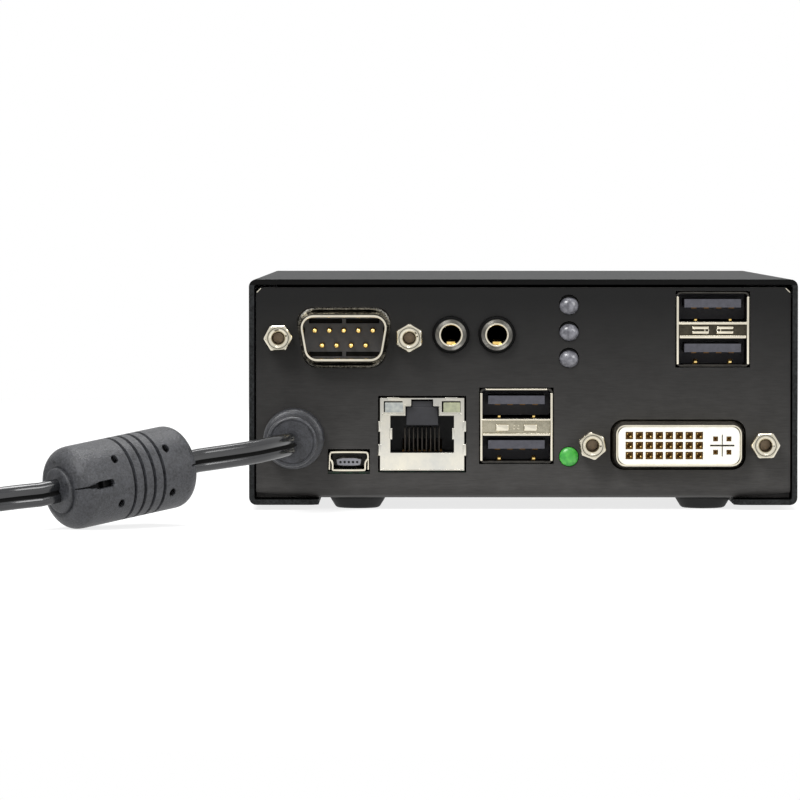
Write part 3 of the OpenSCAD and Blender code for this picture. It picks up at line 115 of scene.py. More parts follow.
def makeFinish(name, look):
    # Two shades in soft patches, a fine grain in the relief, and roughness that varies with both
    dark, light, patchSize, grainSize, roughness, depth, more = look
    material, tree, place = startMaterial(name)
    stretched = addNode(tree, "ShaderNodeMapping", {"Scale": more.get("stretch", (1, 1, 1))},
        {"Vector": place}).outputs["Vector"]
    patches = addNode(tree, "ShaderNodeTexNoise",
        {"Scale": perMillimetre(patchSize), "Detail": 4.0, "Roughness": 0.6},
        {"Vector": place}).outputs["Fac"]
    grain = addNode(tree, "ShaderNodeTexNoise",
        {"Scale": perMillimetre(grainSize), "Detail": 3.0, "Roughness": 0.65},
        {"Vector": stretched}).outputs["Fac"]
    mixed = addNode(tree, "ShaderNodeMix", {"data_type": "FLOAT", 0: more.get("grainShare", 0.4)},
        {2: patches, 3: grain}).outputs[0]
    stops = zip(more.get("spread", (0.32, 0.68)), (dark, light))
    colour = addNode(tree, "ShaderNodeValToRGB", {"stops": stops}, {"Fac": mixed}).outputs["Color"]
    rough = addNode(tree, "ShaderNodeMapRange",
        {"From Min": 0.3, "From Max": 0.7, "To Min": roughness[0], "To Max": roughness[1]},
        {"Value": mixed}).outputs["Result"]
    bump = addNode(tree, "ShaderNodeBump", {"Strength": more.get("bump", 0.3), "Distance": depth / 1000.0},
        {"Height": grain}).outputs["Normal"]
    # Matt finishes scatter most of what a smooth surface would mirror: their sheen is under 0.5
    settings = {"Metallic": more.get("metallic", 0.0), "IOR": more.get("ior", 1.5),
        "Specular IOR Level": more.get("sheen", 0.5)}
    if "rise" in more:
        # Painted light and shade: the colour is scaled evenly between two heights in millimetres
        low, high, atLow, atHigh = more["rise"]
        height = addNode(tree, "ShaderNodeSeparateXYZ", links={"Vector": place}).outputs["Z"]
        paintedLightLevel = addNode(tree, "ShaderNodeMapRange", {"From Min": low / 1000.0, "From Max": high / 1000.0,
            "To Min": atLow, "To Max": atHigh}, {"Value": height}).outputs["Result"]
        colour = addNode(tree, "ShaderNodeVectorMath", {"operation": "SCALE"},
            {0: colour, "Scale": paintedLightLevel}).outputs["Vector"]
    shader = addNode(tree, "ShaderNodeBsdfPrincipled", settings,
        {"Base Color": colour, "Roughness": rough, "Normal": bump}).outputs["BSDF"]
    addNode(tree, "ShaderNodeOutputMaterial", links={"Surface": shader})
    return material


print("finishes")
sheetPlating = {"metallic": 1.0, "bump": 0.12, "grainShare": 0.2}
# Each finish: dark and light shade, millimetres across its patches and its grain, range of roughness,
# millimetres of relief, and what sets it apart
finishes = {
    # Sheet steel under black powder coat: satin, with an orange-peel grain of 0.5 mm
    "powderCoatedSteel": ("#060707", "#212324", 4.0, 0.5, (0.5, 0.66), 0.06, {
        "sheen": 0.177, "bump": 0.8, "grainShare": 0.85, "spread": (0.4, 0.62)}),
    # Satin enamel baked on the panel, a shade warmer than the cover, with painted light at its foot and
    # painted shade darkening it towards its top
    "bakedEnamelPanel": ("#201f1e", "#2c2b2a", 5.0, 0.3, (0.42, 0.6), 0.02, {
        "sheen": 0.213, "bump": 0.4, "grainShare": 0.6, "stretch": (0.12, 1.0, 1.3),
        "rise": (3.0, 40.0, 1.92, 0.05)}),
    # Enamel rubbed thin on sheared edges, so that grey steel shows
    "rubbedEnamelEdge": ("#2a2928", "#9a968e", 1.2, 0.3, (0.35, 0.55), 0.02, {"metallic": 0.4}),
    # Painted shade: steel coloured dark behind the panel, on the shells' flanges and on the USB shells' skin
    # and bars
    "paintedShadeSteel": ("#1b1a18", "#3d3a35", 1.5, 0.3, (0.45, 0.6), 0.01, {"metallic": 0.6}),
    # Inside of a moulded recess, where hardly any light gets back out
    "shadedRecess": ("#030303", "#070707", 0.8, 0.2, (0.7, 0.85), 0.01, {"sheen": 0.103}),
    # Black oxide on screws: dull and slightly blue
    "blackOxideScrew": ("#141416", "#242427", 1.5, 0.2, (0.38, 0.5), 0.01, {"metallic": 0.7}),
    # Moulded nitrile rubber: matt, with a spark-eroded mould texture
    "mouldedRubber": ("#0c0c0c", "#151515", 3.0, 0.25, (0.6, 0.75), 0.03, {"ior": 1.52, "sheen": 0.354}),
    # Bright nickel over stamped steel: a mirror with the faint waves of thin sheet
    "brightNickelPlate": ("#cdc7b6", "#e2dbc9", 6.0, 1.2, (0.1, 0.18), 0.002, sheetPlating),
    # Tin over the network socket's sheet shield, darker towards its top as painted shade
    "tinPlatedShield": ("#c2c1bb", "#dcd7c8", 6.0, 1.2, (0.1, 0.2), 0.002, {
        **sheetPlating, "rise": (9.5, 21.0, 1.04, 0.78)}),
    # Nickel of the lower sockets' divider, darkened as painted shade where it sits back in the shell
    "shadedFoldedNickel": ("#8d8877", "#a8a290", 1.6, 0.4, (0.2, 0.32), 0.003, {
        "metallic": 1.0, "bump": 0.15, "grainShare": 0.3}),
    # Painted shade: nickel coloured dark in the jackscrews' ring groove
    "paintedShadeGroove": ("#3a3833", "#6a675e", 0.8, 0.25, (0.25, 0.4), 0.01, {"metallic": 0.8}),
    # The fold between the upper openings, in the shade of its rims
    "shadedFold": ("#1c1913", "#4b463a", 1.6, 0.25, (0.25, 0.4), 0.01, {"metallic": 0.8}),
    # Painted shade: springs deep in the network socket, coloured dark brown
    "shadedSprings": ("#15110c", "#2f271d", 0.8, 0.2, (0.4, 0.55), 0.005, {"metallic": 0.3}),
    # Dark steel of the serial shell's fold, scuffed bright in specks
    "scuffedFold": ("#11100f", "#98958d", 0.6, 0.2, (0.3, 0.45), 0.03, {
        "metallic": 0.6, "grainShare": 0.6, "spread": (0.44, 0.62)}),
    # Dark satin polyester of the latch ramp
    "latchPolyester": ("#141417", "#212126", 1.2, 0.2, (0.4, 0.55), 0.01, {"ior": 1.45}),
    # Nickel dulled by handling on turned parts
    "satinNickelPlate": ("#b3ad9b", "#c9c3b1", 1.6, 0.5, (0.16, 0.26), 0.003, sheetPlating),
    # Turned steel of the sound sockets, between their tool marks
    "turnedSteelFace": ("#43423f", "#686661", 0.7, 0.15, (0.3, 0.45), 0.012, {"metallic": 1.0}),
    # Drawn and tapped brass, dulled by cutting oil
    "drawnBrass": ("#6d5f4e", "#94846e", 1.2, 0.3, (0.3, 0.45), 0.01, {"metallic": 0.9}),
    # Gold flash over phosphor bronze springs
    "goldFlash": ("#e3b95c", "#f7dc98", 0.8, 0.3, (0.14, 0.26), 0.004, {"metallic": 1.0}),
    # Glass-filled nylon: its fibres leave a fine grey mottle
    "glassFilledNylon": ("#0c0c0d", "#1a1a1c", 1.4, 0.18, (0.38, 0.55), 0.012, {"ior": 1.53}),
    # Dark grey polyester of the serial plug's insulator, satin
    "greyPolyester": ("#2c2c2f", "#3a3a3d", 1.2, 0.2, (0.4, 0.55), 0.012, {"ior": 1.45}),
    # Grey polyester of the USB tongues, faintly mottled
    "tonguePolyester": ("#2f2f35", "#43434b", 1.2, 0.2, (0.4, 0.55), 0.012, {"ior": 1.45}),
    # Pale grey polyester of the mini USB tongue
    "paleTongue": ("#66666c", "#7e7e84", 0.8, 0.2, (0.4, 0.55), 0.01, {}),
    # Phosphor bronze, tarnished brown in its cavities
    "darkBronze": ("#4a3213", "#7a5827", 0.7, 0.2, (0.3, 0.5), 0.01, {"metallic": 0.8}),
    # White polyester of the video insert, slightly warm
    "whitePolyester": ("#d9d6c9", "#ebe9df", 1.6, 0.25, (0.3, 0.42), 0.01, {}),
    # Extruded vinyl of the lead: smooth, with a soft gloss and fine die lines
    "extrudedVinyl": ("#0f1012", "#1b1c1f", 4.0, 0.25, (0.12, 0.18), 0.001, {"ior": 1.62}),
    # Vinyl moulded over the plug and the strain relief, with fine texture
    "mouldedVinyl": ("#0f1012", "#3d3e43", 1.0, 0.3, (0.28, 0.42), 0.05, {
        "ior": 1.47, "bump": 0.9, "grainShare": 0.65, "spread": (0.37, 0.66)}),
    # Spark-eroded texture on the ferrite's moulded cover
    "erodedVinylCover": ("#141517", "#3d3e42", 1.3, 0.4, (0.34, 0.55), 0.12, {
        "ior": 1.46, "bump": 1.0, "grainShare": 0.65, "spread": (0.36, 0.64)}),
    # Moulded ABS of the mains adapter: smooth and satin
    "mouldedAbs": ("#141416", "#1d1d20", 5.0, 0.35, (0.42, 0.55), 0.03, {"ior": 1.54}),
    # Nylon of the tie, ribbed along its length
    "wovenTieNylon": ("#0f0f10", "#1c1c1e", 1.5, 0.4, (0.5, 0.65), 0.04, {
        "ior": 1.53, "stretch": (1.0, 3.0, 1.0)}),
    # Anodised extrusion of the heat sink, with die lines along it
    "blackAnodised": ("#1a1a1c", "#2a2a2d", 2.0, 0.3, (0.35, 0.5), 0.01, {
        "metallic": 0.9, "stretch": (8.0, 1.0, 1.0)}),
    # Aluminium can under a shrunk vinyl sleeve
    "capacitorSleeve": ("#23242c", "#2f313c", 2.0, 0.4, (0.25, 0.4), 0.01, {}),
    # Sintered ferrite: matt dark grey with fine pores
    "sinteredFerrite": ("#232323", "#343434", 0.8, 0.2, (0.55, 0.7), 0.02, {}),
}
madeFinishes = {name: makeFinish(name, look) for name, look in finishes.items()}


def makeLens(name, dark, light, roughness):
    # Cast epoxy, which its filler makes hazy in patches of 0.9 mm
    material, tree, place = startMaterial(name)
    haze = addNode(tree, "ShaderNodeTexNoise", {"Scale": perMillimetre(0.9), "Detail": 3.0},
        {"Vector": place}).outputs["Fac"]
    tint = addNode(tree, "ShaderNodeValToRGB", {"stops": ((0.35, dark), (0.65, light))},
        {"Fac": haze}).outputs["Color"]
    bump = addNode(tree, "ShaderNodeBump", {"Strength": 0.15, "Distance": 0.00001},
        {"Height": haze}).outputs["Normal"]
    shader = addNode(tree, "ShaderNodeBsdfPrincipled",
        {"Roughness": roughness, "IOR": 1.54, "Coat Weight": 0.15, "Coat Roughness": 0.1},
        {"Base Color": tint, "Normal": bump}).outputs["BSDF"]
    addNode(tree, "ShaderNodeOutputMaterial", links={"Surface": shader})
    return material


lenses = {
    "hazedClearEpoxy": ("#45454b", "#737379", 0.25),
    "greenTintedEpoxy": ("#1f8a2a", "#47ac3e", 0.35),
    "milkyGreyLamp": ("#858988", "#9ea19a", 0.35),
    "milkyLimeLamp": ("#83866f", "#96997c", 0.35),
}
for name, look in lenses.items():
    madeFinishes[name] = makeLens(name, *look)
boardLook = {"mask": "#0d3b22", "copper": "#17603a", "runs": 8.0, "weave": 2.4, "relief": 0.04}


def makeBoardFinish(name):
    # Glass-epoxy laminate under green solder mask, whose copper runs show as raised lines
    material, tree, place = startMaterial(name)
    runs = addNode(tree, "ShaderNodeTexWave",
        {"bands_direction": "X", "Scale": perMillimetre(boardLook["runs"]), "Distortion": 6.0,
        "Detail": 1.0, "Detail Scale": 0.4}, {"Vector": place}).outputs["Fac"]
    weave = addNode(tree, "ShaderNodeTexVoronoi", {"Scale": perMillimetre(boardLook["weave"])},
        {"Vector": place}).outputs["Distance"]
    tint = addNode(tree, "ShaderNodeValToRGB",
        {"stops": ((0.45, boardLook["mask"]), (0.6, boardLook["copper"]))}, {"Fac": runs}).outputs["Color"]
    shade = addNode(tree, "ShaderNodeMix", {"data_type": "RGBA", "blend_type": "MULTIPLY", 0: 0.25},
        {6: tint, 7: weave}).outputs[2]
    bump = addNode(tree, "ShaderNodeBump", {"Strength": 0.4, "Distance": boardLook["relief"] / 1000.0},
        {"Height": runs}).outputs["Normal"]
    shader = addNode(tree, "ShaderNodeBsdfPrincipled", {"Roughness": 0.32, "IOR": 1.55},
        {"Base Color": shade, "Normal": bump}).outputs["BSDF"]
    addNode(tree, "ShaderNodeOutputMaterial", links={"Surface": shader})
    return material


madeFinishes["solderMaskedLaminate"] = makeBoardFinish("solderMaskedLaminate")


# Mesh tools. Points on the panel are given as across, up and proud of it, in millimetres
def onPanel(across, up, proud, centre=(0.0, 0.0)):
    return (centre[0] + across, panelY - proud, centre[1] + up)


def addPiece(name, bm, finishNames, replaced=(), smooth=40.0, body=receiver):
    # Ends the mesh and hangs it on its body; edges flatter than the angle are shaded smooth
    bmesh.ops.recalc_face_normals(bm, faces=bm.faces[:])
    mesh = bpy.data.meshes.new(name)
    bm.to_mesh(mesh)
    bm.free()
    for polygon in mesh.polygons:
        polygon.use_smooth = True
    mesh.set_sharp_from_angle(angle=radians(smooth))
    piece = addObject(name, mesh)
    for finish in finishNames:
        mesh.materials.append(madeFinishes[finish])
    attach(piece, body)
    if replaced:
        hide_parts(*replaced)
    return piece


def loftInto(bm, rings, closedEnds=(True, True), finish=0, loop=False):
    # Skins rings of equal point counts; loop joins the last to the first. Finish: one, or one a band
    rows = [[bm.verts.new(metres(p)) for p in ring] for ring in rings]
    pairs = list(zip(rows, rows[1:])) + ([(rows[-1], rows[0])] if loop else [])
    bands = finish if isinstance(finish, list) else [finish] * len(pairs)
    for (a, b), band in zip(pairs, bands):
        for i in range(len(a)):
            bm.faces.new((a[i - 1], a[i], b[i], b[i - 1])).material_index = band
    for wanted, row, band in zip(closedEnds, (rows[0], rows[-1]), (bands[0], bands[-1])):
        if wanted and not loop:
            bm.faces.new(row).material_index = band
    return rows


def roundedOutline(width, height, radius, steps, slant=0.0):
    # Counter-clockwise from the lower right; a slant in degrees narrows it towards its foot
    reach, drop = width / 2, tan(radians(slant)) * height
    corners = [Vector(c) for c in ((reach - drop, -height / 2), (reach, height / 2), (-reach, height / 2),
        (drop - reach, -height / 2))]
    points = []
    for i, here in enumerate(corners):
        before = (corners[i - 1] - here).normalized()
        after = (corners[(i + 1) % 4] - here).normalized()
        half = before.angle(after) / 2
        centre = here + (before + after).normalized() * radius / sin(half)
        first = here + before * radius / tan(half) - centre
        for k in range(steps + 1):
            a = atan2(first.y, first.x) + (pi - 2 * half) * k / steps
            points.append((centre.x + radius * cos(a), centre.y + radius * sin(a)))
    return points


def shrink(outline, amount):
    # The same outline with every side moved inwards
    result = []
    count = len(outline)
    for i in range(count):
        here = Vector(outline[i])
        a = Vector(outline[(i + 1) % count]) - Vector(outline[i - 1])
        normal = Vector((-a.y, a.x)).normalized()
        result.append(tuple(here + normal * amount))
    return result


def circle(radius, count):
    return [(radius * cos(2 * pi * i / count), radius * sin(2 * pi * i / count)) for i in range(count)]


def ringAt(outline, proud, centre):
    return [onPanel(p[0], p[1], proud, centre) for p in outline]


def quarter(steps):
    # Cosine and sine along a quarter turn
    return [(cos(a), sin(a)) for a in (radians(90.0 * k / steps) for k in range(steps + 1))]


def softBlock(bm, lo, hi, edge, centre, finish=0):
    # A block with its front edges rounded, given by its corners
    width, height = hi[0] - lo[0], hi[1] - lo[1]
    middle = (centre[0] + (lo[0] + hi[0]) / 2, centre[1] + (lo[1] + hi[1]) / 2)
    rings = []
    for inward, outward in quarter(3):
        inset = edge * (1 - inward)
        outline = roundedOutline(width - 2 * inset, height - 2 * inset, max(0.02, edge * inward), 3)
        rings.append(ringAt(outline, hi[2] - edge + edge * outward, middle))
    rings.insert(0, ringAt(roundedOutline(width, height, edge, 3), lo[2], middle))
    loftInto(bm, rings, finish=finish)


def addBlocks(bm, centre, rows, sides=(1,)):
    # Rounded blocks: from and to across, from and to upwards, back, front, edge radius, finish
    for side in sides:
        for left, right, low, high, back, front, edge, *finish in rows:
            a, b = sorted((side * left, side * right))
            softBlock(bm, (a, low, back), (b, high, front), edge, centre, *finish)


def blockPiece(name, socket, finishNames, pairs=(), rows=(), replaced=()):
    # A piece made of blocks; the pairs stand on both sides of the socket's middle
    bm = bmesh.new()
    addBlocks(bm, sockets[socket], pairs, bothSides)
    addBlocks(bm, sockets[socket], rows)
    return addPiece(name, bm, finishNames, replaced)


def turnInto(bm, profile, centre, count=64, **skin):
    # A turned skin, square to the panel; the profile is radius and proud
    loftInto(bm, [ringAt(circle(max(radius, leastRadius), count), proud, centre)
        for radius, proud in profile], **skin)


def leafInto(bm, steps, thick, centre):
    # A leaf spring; each step is its middle across, half width, top and proud
    loftInto(bm, [ringAt([(x - half, top), (x + half, top), (x + half, top - thick), (x - half, top - thick)],
        proud, centre) for x, half, top, proud in steps])


def refine(node, finishNames, edge, segments=2, body=receiver):
    # A copy of the solid with its sharp edges eased for the light
    bm = bmesh.new()
    bm.from_mesh(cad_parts[node].data)
    for face in bm.faces:
        face.material_index = 0
    bmesh.ops.remove_doubles(bm, verts=bm.verts[:], dist=1e-6)
    bmesh.ops.dissolve_limit(bm, angle_limit=radians(0.6), verts=bm.verts[:], edges=bm.edges[:])
    sharp = [e for e in bm.edges if len(e.link_faces) == 2 and e.calc_face_angle(0.0) > radians(30.0)]
    bmesh.ops.bevel(bm, geom=sharp, offset=edge / 1000.0, segments=segments, profile=0.5,
        affect="EDGES", clamp_overlap=True, material=1 if len(finishNames) > 1 else -1)
    bmesh.ops.remove_doubles(bm, verts=bm.verts[:], dist=1e-7)
    piece = addPiece("eased_" + node, bm, finishNames, (node,), body=body)
    piece.modifiers.new("weighted", "WEIGHTED_NORMAL").keep_sharp = True
    return piece


def dress(node, finish):
    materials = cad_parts[node].data.materials
    materials.clear()
    materials.append(madeFinishes[finish])


print("lead")
lead = {
    "width": 4.4,
    "thickness": 2.2,
    "inlet": (-43.8, 13.9),
    "gripLength": 18.7,
    "ferriteMiddle": (-74.0, -122.3, 9.04),
    "ferriteYaw": 38.0,
    "ferritePitch": 8.3,
    "ferriteReach": 13.2,
    "frontRoute": [(-44.4, -97.0, 13.8), (-46.9, -101.8, 13.4), (-51.0, -105.6, 12.7)],
    "rearRoute": [(-91.5, -135.1, 6.2), (-96.0, -136.6, 5.7), (-102.0, -137.7, 5.0),
        (-109.5, -138.2, 4.2), (-118.0, -138.4, 3.6), (-127.0, -138.4, 3.1),
        (-135.0, -138.4, 3.1)],
    "coilEntry": (-146.0, -138.4),
    "coilInner": 24.0,
    "coilPitch": 3.1,
    "coilTurns": 7.25,
    "coilLow": 3.1,
    "layerGap": 0.6,
    "adapterBehind": 5.6,
    "reliefLength": 14.0,
}
yaw, pitch = radians(lead["ferriteYaw"]), radians(lead["ferritePitch"])
ferriteDir = Vector((cos(pitch) * cos(yaw), cos(pitch) * sin(yaw), sin(pitch)))
ferriteMiddle = Vector(lead["ferriteMiddle"])
ferriteRight = ferriteMiddle + ferriteDir * lead["ferriteReach"]
ferriteLeft = ferriteMiddle - ferriteDir * lead["ferriteReach"]
gripEnd = Vector((lead["inlet"][0], panelY - lead["gripLength"], lead["inlet"][1]))


def splineThrough(points, steps):
    points = [Vector(p) for p in points]
    last = len(points) - 1
    result = []
    for i in range(last):
        a, b = points[max(i - 1, 0)], points[i]
        c, d = points[i + 1], points[min(i + 2, last)]
        for k in range(steps):
            t = k / steps
            result.append(0.5 * (2 * b + (c - a) * t + (2 * a - 5 * b + 4 * c - d) * t * t
                + (3 * b - a - 3 * c + d) * t * t * t))
    result.append(points[last])
    return result


coilOuter = lead["coilInner"] + lead["coilPitch"] * lead["coilTurns"] / 2
coilMiddle = Vector((lead["coilEntry"][0], lead["coilEntry"][1] + coilOuter, 0.0))


def coilPoint(turn):
    away = turn - lead["coilTurns"] / 2
    radius = lead["coilInner"] + lead["coilPitch"] * abs(away)
    angle = radians(-90.0 - 360.0 * turn)
    share = min(max(2 * away + 0.5, 0.0), 1.0)
    lift = (lead["width"] + lead["layerGap"]) * share * share * (3 - 2 * share)
    return coilMiddle + Vector((radius * cos(angle), radius * sin(angle), lead["coilLow"] + lift))


coilStart = coilPoint(0.0) + Vector((lead["width"], 0, 0))
coilEnd = coilPoint(lead["coilTurns"]) + Vector((0, lead["width"], 0))
adapterFace = coilMiddle.y + coilOuter + lead["adapterBehind"]
reliefTip = Vector((coilEnd.x, adapterFace - lead["reliefLength"], coilEnd.z))
caseEntry = Vector((coilEnd.x, adapterFace, coilEnd.z))
turnsCount = int(lead["coilTurns"] * 48)
leadPath = (
    [gripEnd]
    + splineThrough([gripEnd - Vector((0, lead["width"], 0))] + lead["frontRoute"]
        + [ferriteRight + ferriteDir * lead["width"]], 6)
    + [ferriteRight, ferriteMiddle, ferriteLeft]
    + splineThrough([ferriteLeft - ferriteDir * lead["width"]] + lead["rearRoute"] + [coilStart], 6)
    + [coilPoint(lead["coilTurns"] * i / turnsCount) for i in range(turnsCount + 1)]
    + [coilEnd, reliefTip, caseEntry])

# Two round strands joined by a thin web, as a flat two-core lead is extruded
strand = lead["thickness"] / 2
upper = [(strand * cos(radians(a)), lead["width"] / 2 - strand + strand * sin(radians(a)))
    for a in range(-60, 241, 30)]
outline = upper + [(-x, -z) for x, z in upper]
rings = []
for i, point in enumerate(leadPath):
    along = (leadPath[min(i + 1, len(leadPath) - 1)] - leadPath[max(i - 1, 0)]).normalized()
    side = Vector((along.y, -along.x, 0.0)).normalized()
    rings.append([point + side * x + side.cross(along) * z for x, z in outline])
leadMesh = bmesh.new()
loftInto(leadMesh, rings)
for i, face in enumerate(list(leadMesh.faces)[:-2]):
    # The fold between the strands stays in their shade
    if i % len(outline) in (0, 1, len(upper), len(upper) + 1):
        face.material_index = 1
leadObject = addPiece("flatTwinLead", leadMesh, ["extrudedVinyl", "shadedRecess"],
    ("lead_front", "lead_rear", "lead_coil", "lead_tail"), 60.0, powerLead)
leadLength = sum((b - a).length for a, b in zip(leadPath, leadPath[1:]))

# Plug grip, turned, with rings that the fingers hold
grip = {"ringRadius": 5.75, "endRadius": 4.77, "ringTop": 7.3, "ease": 0.9, "foot": 0.3}


def easedCorner(radius, proud, ease, turnIn=True):
    if turnIn:
        return [(radius - ease * (1 - x), proud - ease + ease * y) for x, y in quarter(5)]
    return [(radius - ease * (1 - y), proud + ease * (1 - x)) for x, y in quarter(5)]


gripFront = lead["gripLength"]
gripProfile = (
    [(0.0, grip["foot"])]
    + easedCorner(grip["ringRadius"], grip["foot"], 0.4, turnIn=False)
    + easedCorner(grip["ringRadius"], grip["ringTop"], grip["ease"])
    + [(4.98, 7.28), (4.9, 7.34), (4.88, 8.6), (4.7, 8.65), (4.7, 9.3), (4.85, 9.35), (4.8, 10.8),
       (4.62, 10.85), (4.62, 11.5), (4.76, 11.55), (4.7, 13.0), (4.52, 13.05), (4.52, 13.7),
       (4.78, 13.75), (4.78, 16.0)]
    + easedCorner(grip["endRadius"], gripFront, 0.5)
    + [(4.2, gripFront), (4.14, gripFront - 0.16), (4.0, gripFront - 0.16),
       (3.94, gripFront), (0.0, gripFront)])
gripMesh = bmesh.new()
turnInto(gripMesh, gripProfile, lead["inlet"])
gripObject = addPiece("plugGrip", gripMesh, ["mouldedVinyl"], ("plug_grip",), body=powerLead)

# Ferrite cover: a dense skin, pushed in for its grooves, holes and parting slot
ferrite = {
    "radius": 7.55, "leftHalf": 13.3, "rightHalf": 12.8, "domeLength": 3.3, "domeDepth": 3.0,
    "ease": 2.4, "bossRadius": 4.1, "bossHeight": 0.5,
    "grooveHalf": 0.33, "grooveDeep": 0.6, "grooves": [-1.825, 0.325, 2.475, 4.625],
    "holeWide": 0.6, "holeTall": 0.78, "holeDeep": 1.6,
    "holes": [(-4.8, 27.0), (-4.8, -38.5), (6.5, 27.0), (6.5, -38.5)],
    "slotTurn": -5.0, "slotHalf": 0.68, "slotEnd": -6.4, "slotMiddle": -9.4, "slotDeep": 1.3,
    "web": (-8.6, -8.15), "notchFrom": 11.2, "notchHalf": 0.18,
}
toCamera = (Vector(cameraPlace["position"]) - ferriteMiddle).normalized()
facing = (toCamera - ferriteDir * toCamera.dot(ferriteDir)).normalized()
upward = ferriteDir.cross(facing)
if upward.z < 0:
    upward = -upward


def ferriteProfile():
    left, right, radius = -ferrite["leftHalf"], ferrite["rightHalf"], ferrite["radius"]
    boss, rise, ease = ferrite["bossRadius"], ferrite["bossHeight"], ferrite["ease"]
    profile = [(leastRadius, left - rise), (boss - 0.5, left - rise), (boss - 0.2, left - rise + 0.06),
        (boss - 0.04, left - rise + 0.2), (boss, left - rise + 0.4), (boss + 0.05, left + 0.25)]
    for k in range(11):
        a = radians(8.0 + 74.0 * k / 10)
        profile.append((radius - ferrite["domeDepth"] * (1 - sin(a)) - 0.03,
            left + ferrite["domeLength"] * (1 - cos(a)) * 0.9))
    start, end = left + ferrite["domeLength"], right - ease
    stops = [start + (end - start) * k / 52 for k in range(53)]
    for middle in ferrite["grooves"]:
        stops += [middle + d * ferrite["grooveHalf"] for d in (-1.3, -1, -0.7, -0.35, 0, 0.35, 0.7, 1, 1.3)]
    for middle, _ in ferrite["holes"]:
        stops += [middle + d * ferrite["holeWide"] for d in (-1.1, -1, -0.8, -0.5, 0, 0.5, 0.8, 1, 1.1)]
    stops += [ferrite["slotEnd"] + d for d in (-0.6, -0.4, -0.2, -0.05, 0.05)]
    stops += [place + d for place, d in zip(ferrite["web"], (0.05, -0.05))] + [*ferrite["web"]]
    for stop in sorted(stop for stop in stops if start <= stop <= end):
        if stop - profile[-1][1] > 0.03:
            profile.append((radius, stop))
    profile += [(radius - ease + ease * x, right - ease + ease * y) for x, y in quarter(8)[1:]]
    profile += [(boss, right), (boss, right + rise - 0.15), (boss - 0.15, right + rise),
        (leastRadius, right + rise)]
    return profile


def ferriteDepth(w, turn):
    # How many millimetres a point of the skin is pushed in
    radius = ferrite["radius"]
    depth = 0.0
    for middle in ferrite["grooves"]:
        away = abs(w - middle) / ferrite["grooveHalf"]
        if away < 1:
            depth = max(depth, ferrite["grooveDeep"] * min(1.0, 1.6 * (1 - away)))
    for place, angle in ferrite["holes"]:
        across = radians(turn - angle) * radius
        away = hypot((w - place) / ferrite["holeWide"], across / ferrite["holeTall"])
        if away < 1.05:
            depth = max(depth, ferrite["holeDeep"] * min(1.0, (1.05 - away) / 0.15))
    across = abs(radians(turn - ferrite["slotTurn"]) * radius)
    half, slotEnd, slotMiddle = ferrite["slotHalf"], ferrite["slotEnd"], ferrite["slotMiddle"]
    if w < slotEnd:
        if w > slotEnd - half:
            half *= sqrt(max(0.0, 1 - ((w - slotEnd + half) / half) ** 2))
        if w < slotMiddle:
            half = ferrite["slotHalf"] * max(0.25, 1 - (slotMiddle - w) / 3.0)
        if across < half:
            deep = ferrite["slotDeep"] if w > slotMiddle else 0.5
            if ferrite["web"][0] <= w <= ferrite["web"][1]:
                deep = 0.35
            depth = max(depth, deep * min(1.0, (half - across) / 0.12 + 0.3))
    if w > ferrite["notchFrom"] and across < ferrite["notchHalf"]:
        depth = max(depth, 0.5)
    return depth


ferriteMesh = bmesh.new()
rings, hollows = [], []
turnStops = sorted(set([360.0 * i / 150 for i in range(150)]
    + [(angle + d) % 360 for _, angle in ferrite["holes"] for d in range(-7, 8)]
    + [(ferrite["slotTurn"] + d * 0.9) % 360 for d in range(-7, 8)]))
for r, w in ferriteProfile():
    rings.append([])
    for turn in turnStops:
        signed = turn if turn <= 180 else turn - 360
        push = ferriteDepth(w, signed) if r > ferrite["bossRadius"] + 0.9 else 0.0
        a = radians(turn)
        rr = r - push
        rings[-1].append(ferriteMiddle + ferriteDir * w + facing * rr * cos(a) + upward * rr * sin(a))
        hollows.append(push > 0.3)
points = [vertex for row in loftInto(ferriteMesh, rings) for vertex in row]
deepPoints = {vertex for vertex, deep in zip(points, hollows) if deep}
# Painted shade in the deep grooves, holes and slot
for face in ferriteMesh.faces:
    if sum(vertex in deepPoints for vertex in face.verts) >= 3:
        face.material_index = 1
ferriteObject = addPiece("ferriteCover", ferriteMesh, ["erodedVinylCover", "shadedRecess"],
    ("ferrite_housing",), 50.0, powerLead)

tieObject = refine("coil_tie", ["wovenTieNylon"], 0.15, body=powerLead)
reliefObject = refine("adapter_relief", ["mouldedVinyl"], 0.12, body=powerLead)
shellObject = refine("adapter_shell", ["mouldedAbs"], 0.4, 3, body=powerLead)
lidObject = refine("adapter_lid", ["mouldedAbs"], 0.4, 3, body=powerLead)
dress("adapter_blades", "brightNickelPlate")
dress("adapter_supply", "sinteredFerrite")
dress("plug_sleeve", "brightNickelPlate")
metres(gripEnd)
[metres(p) for p in leadPath]

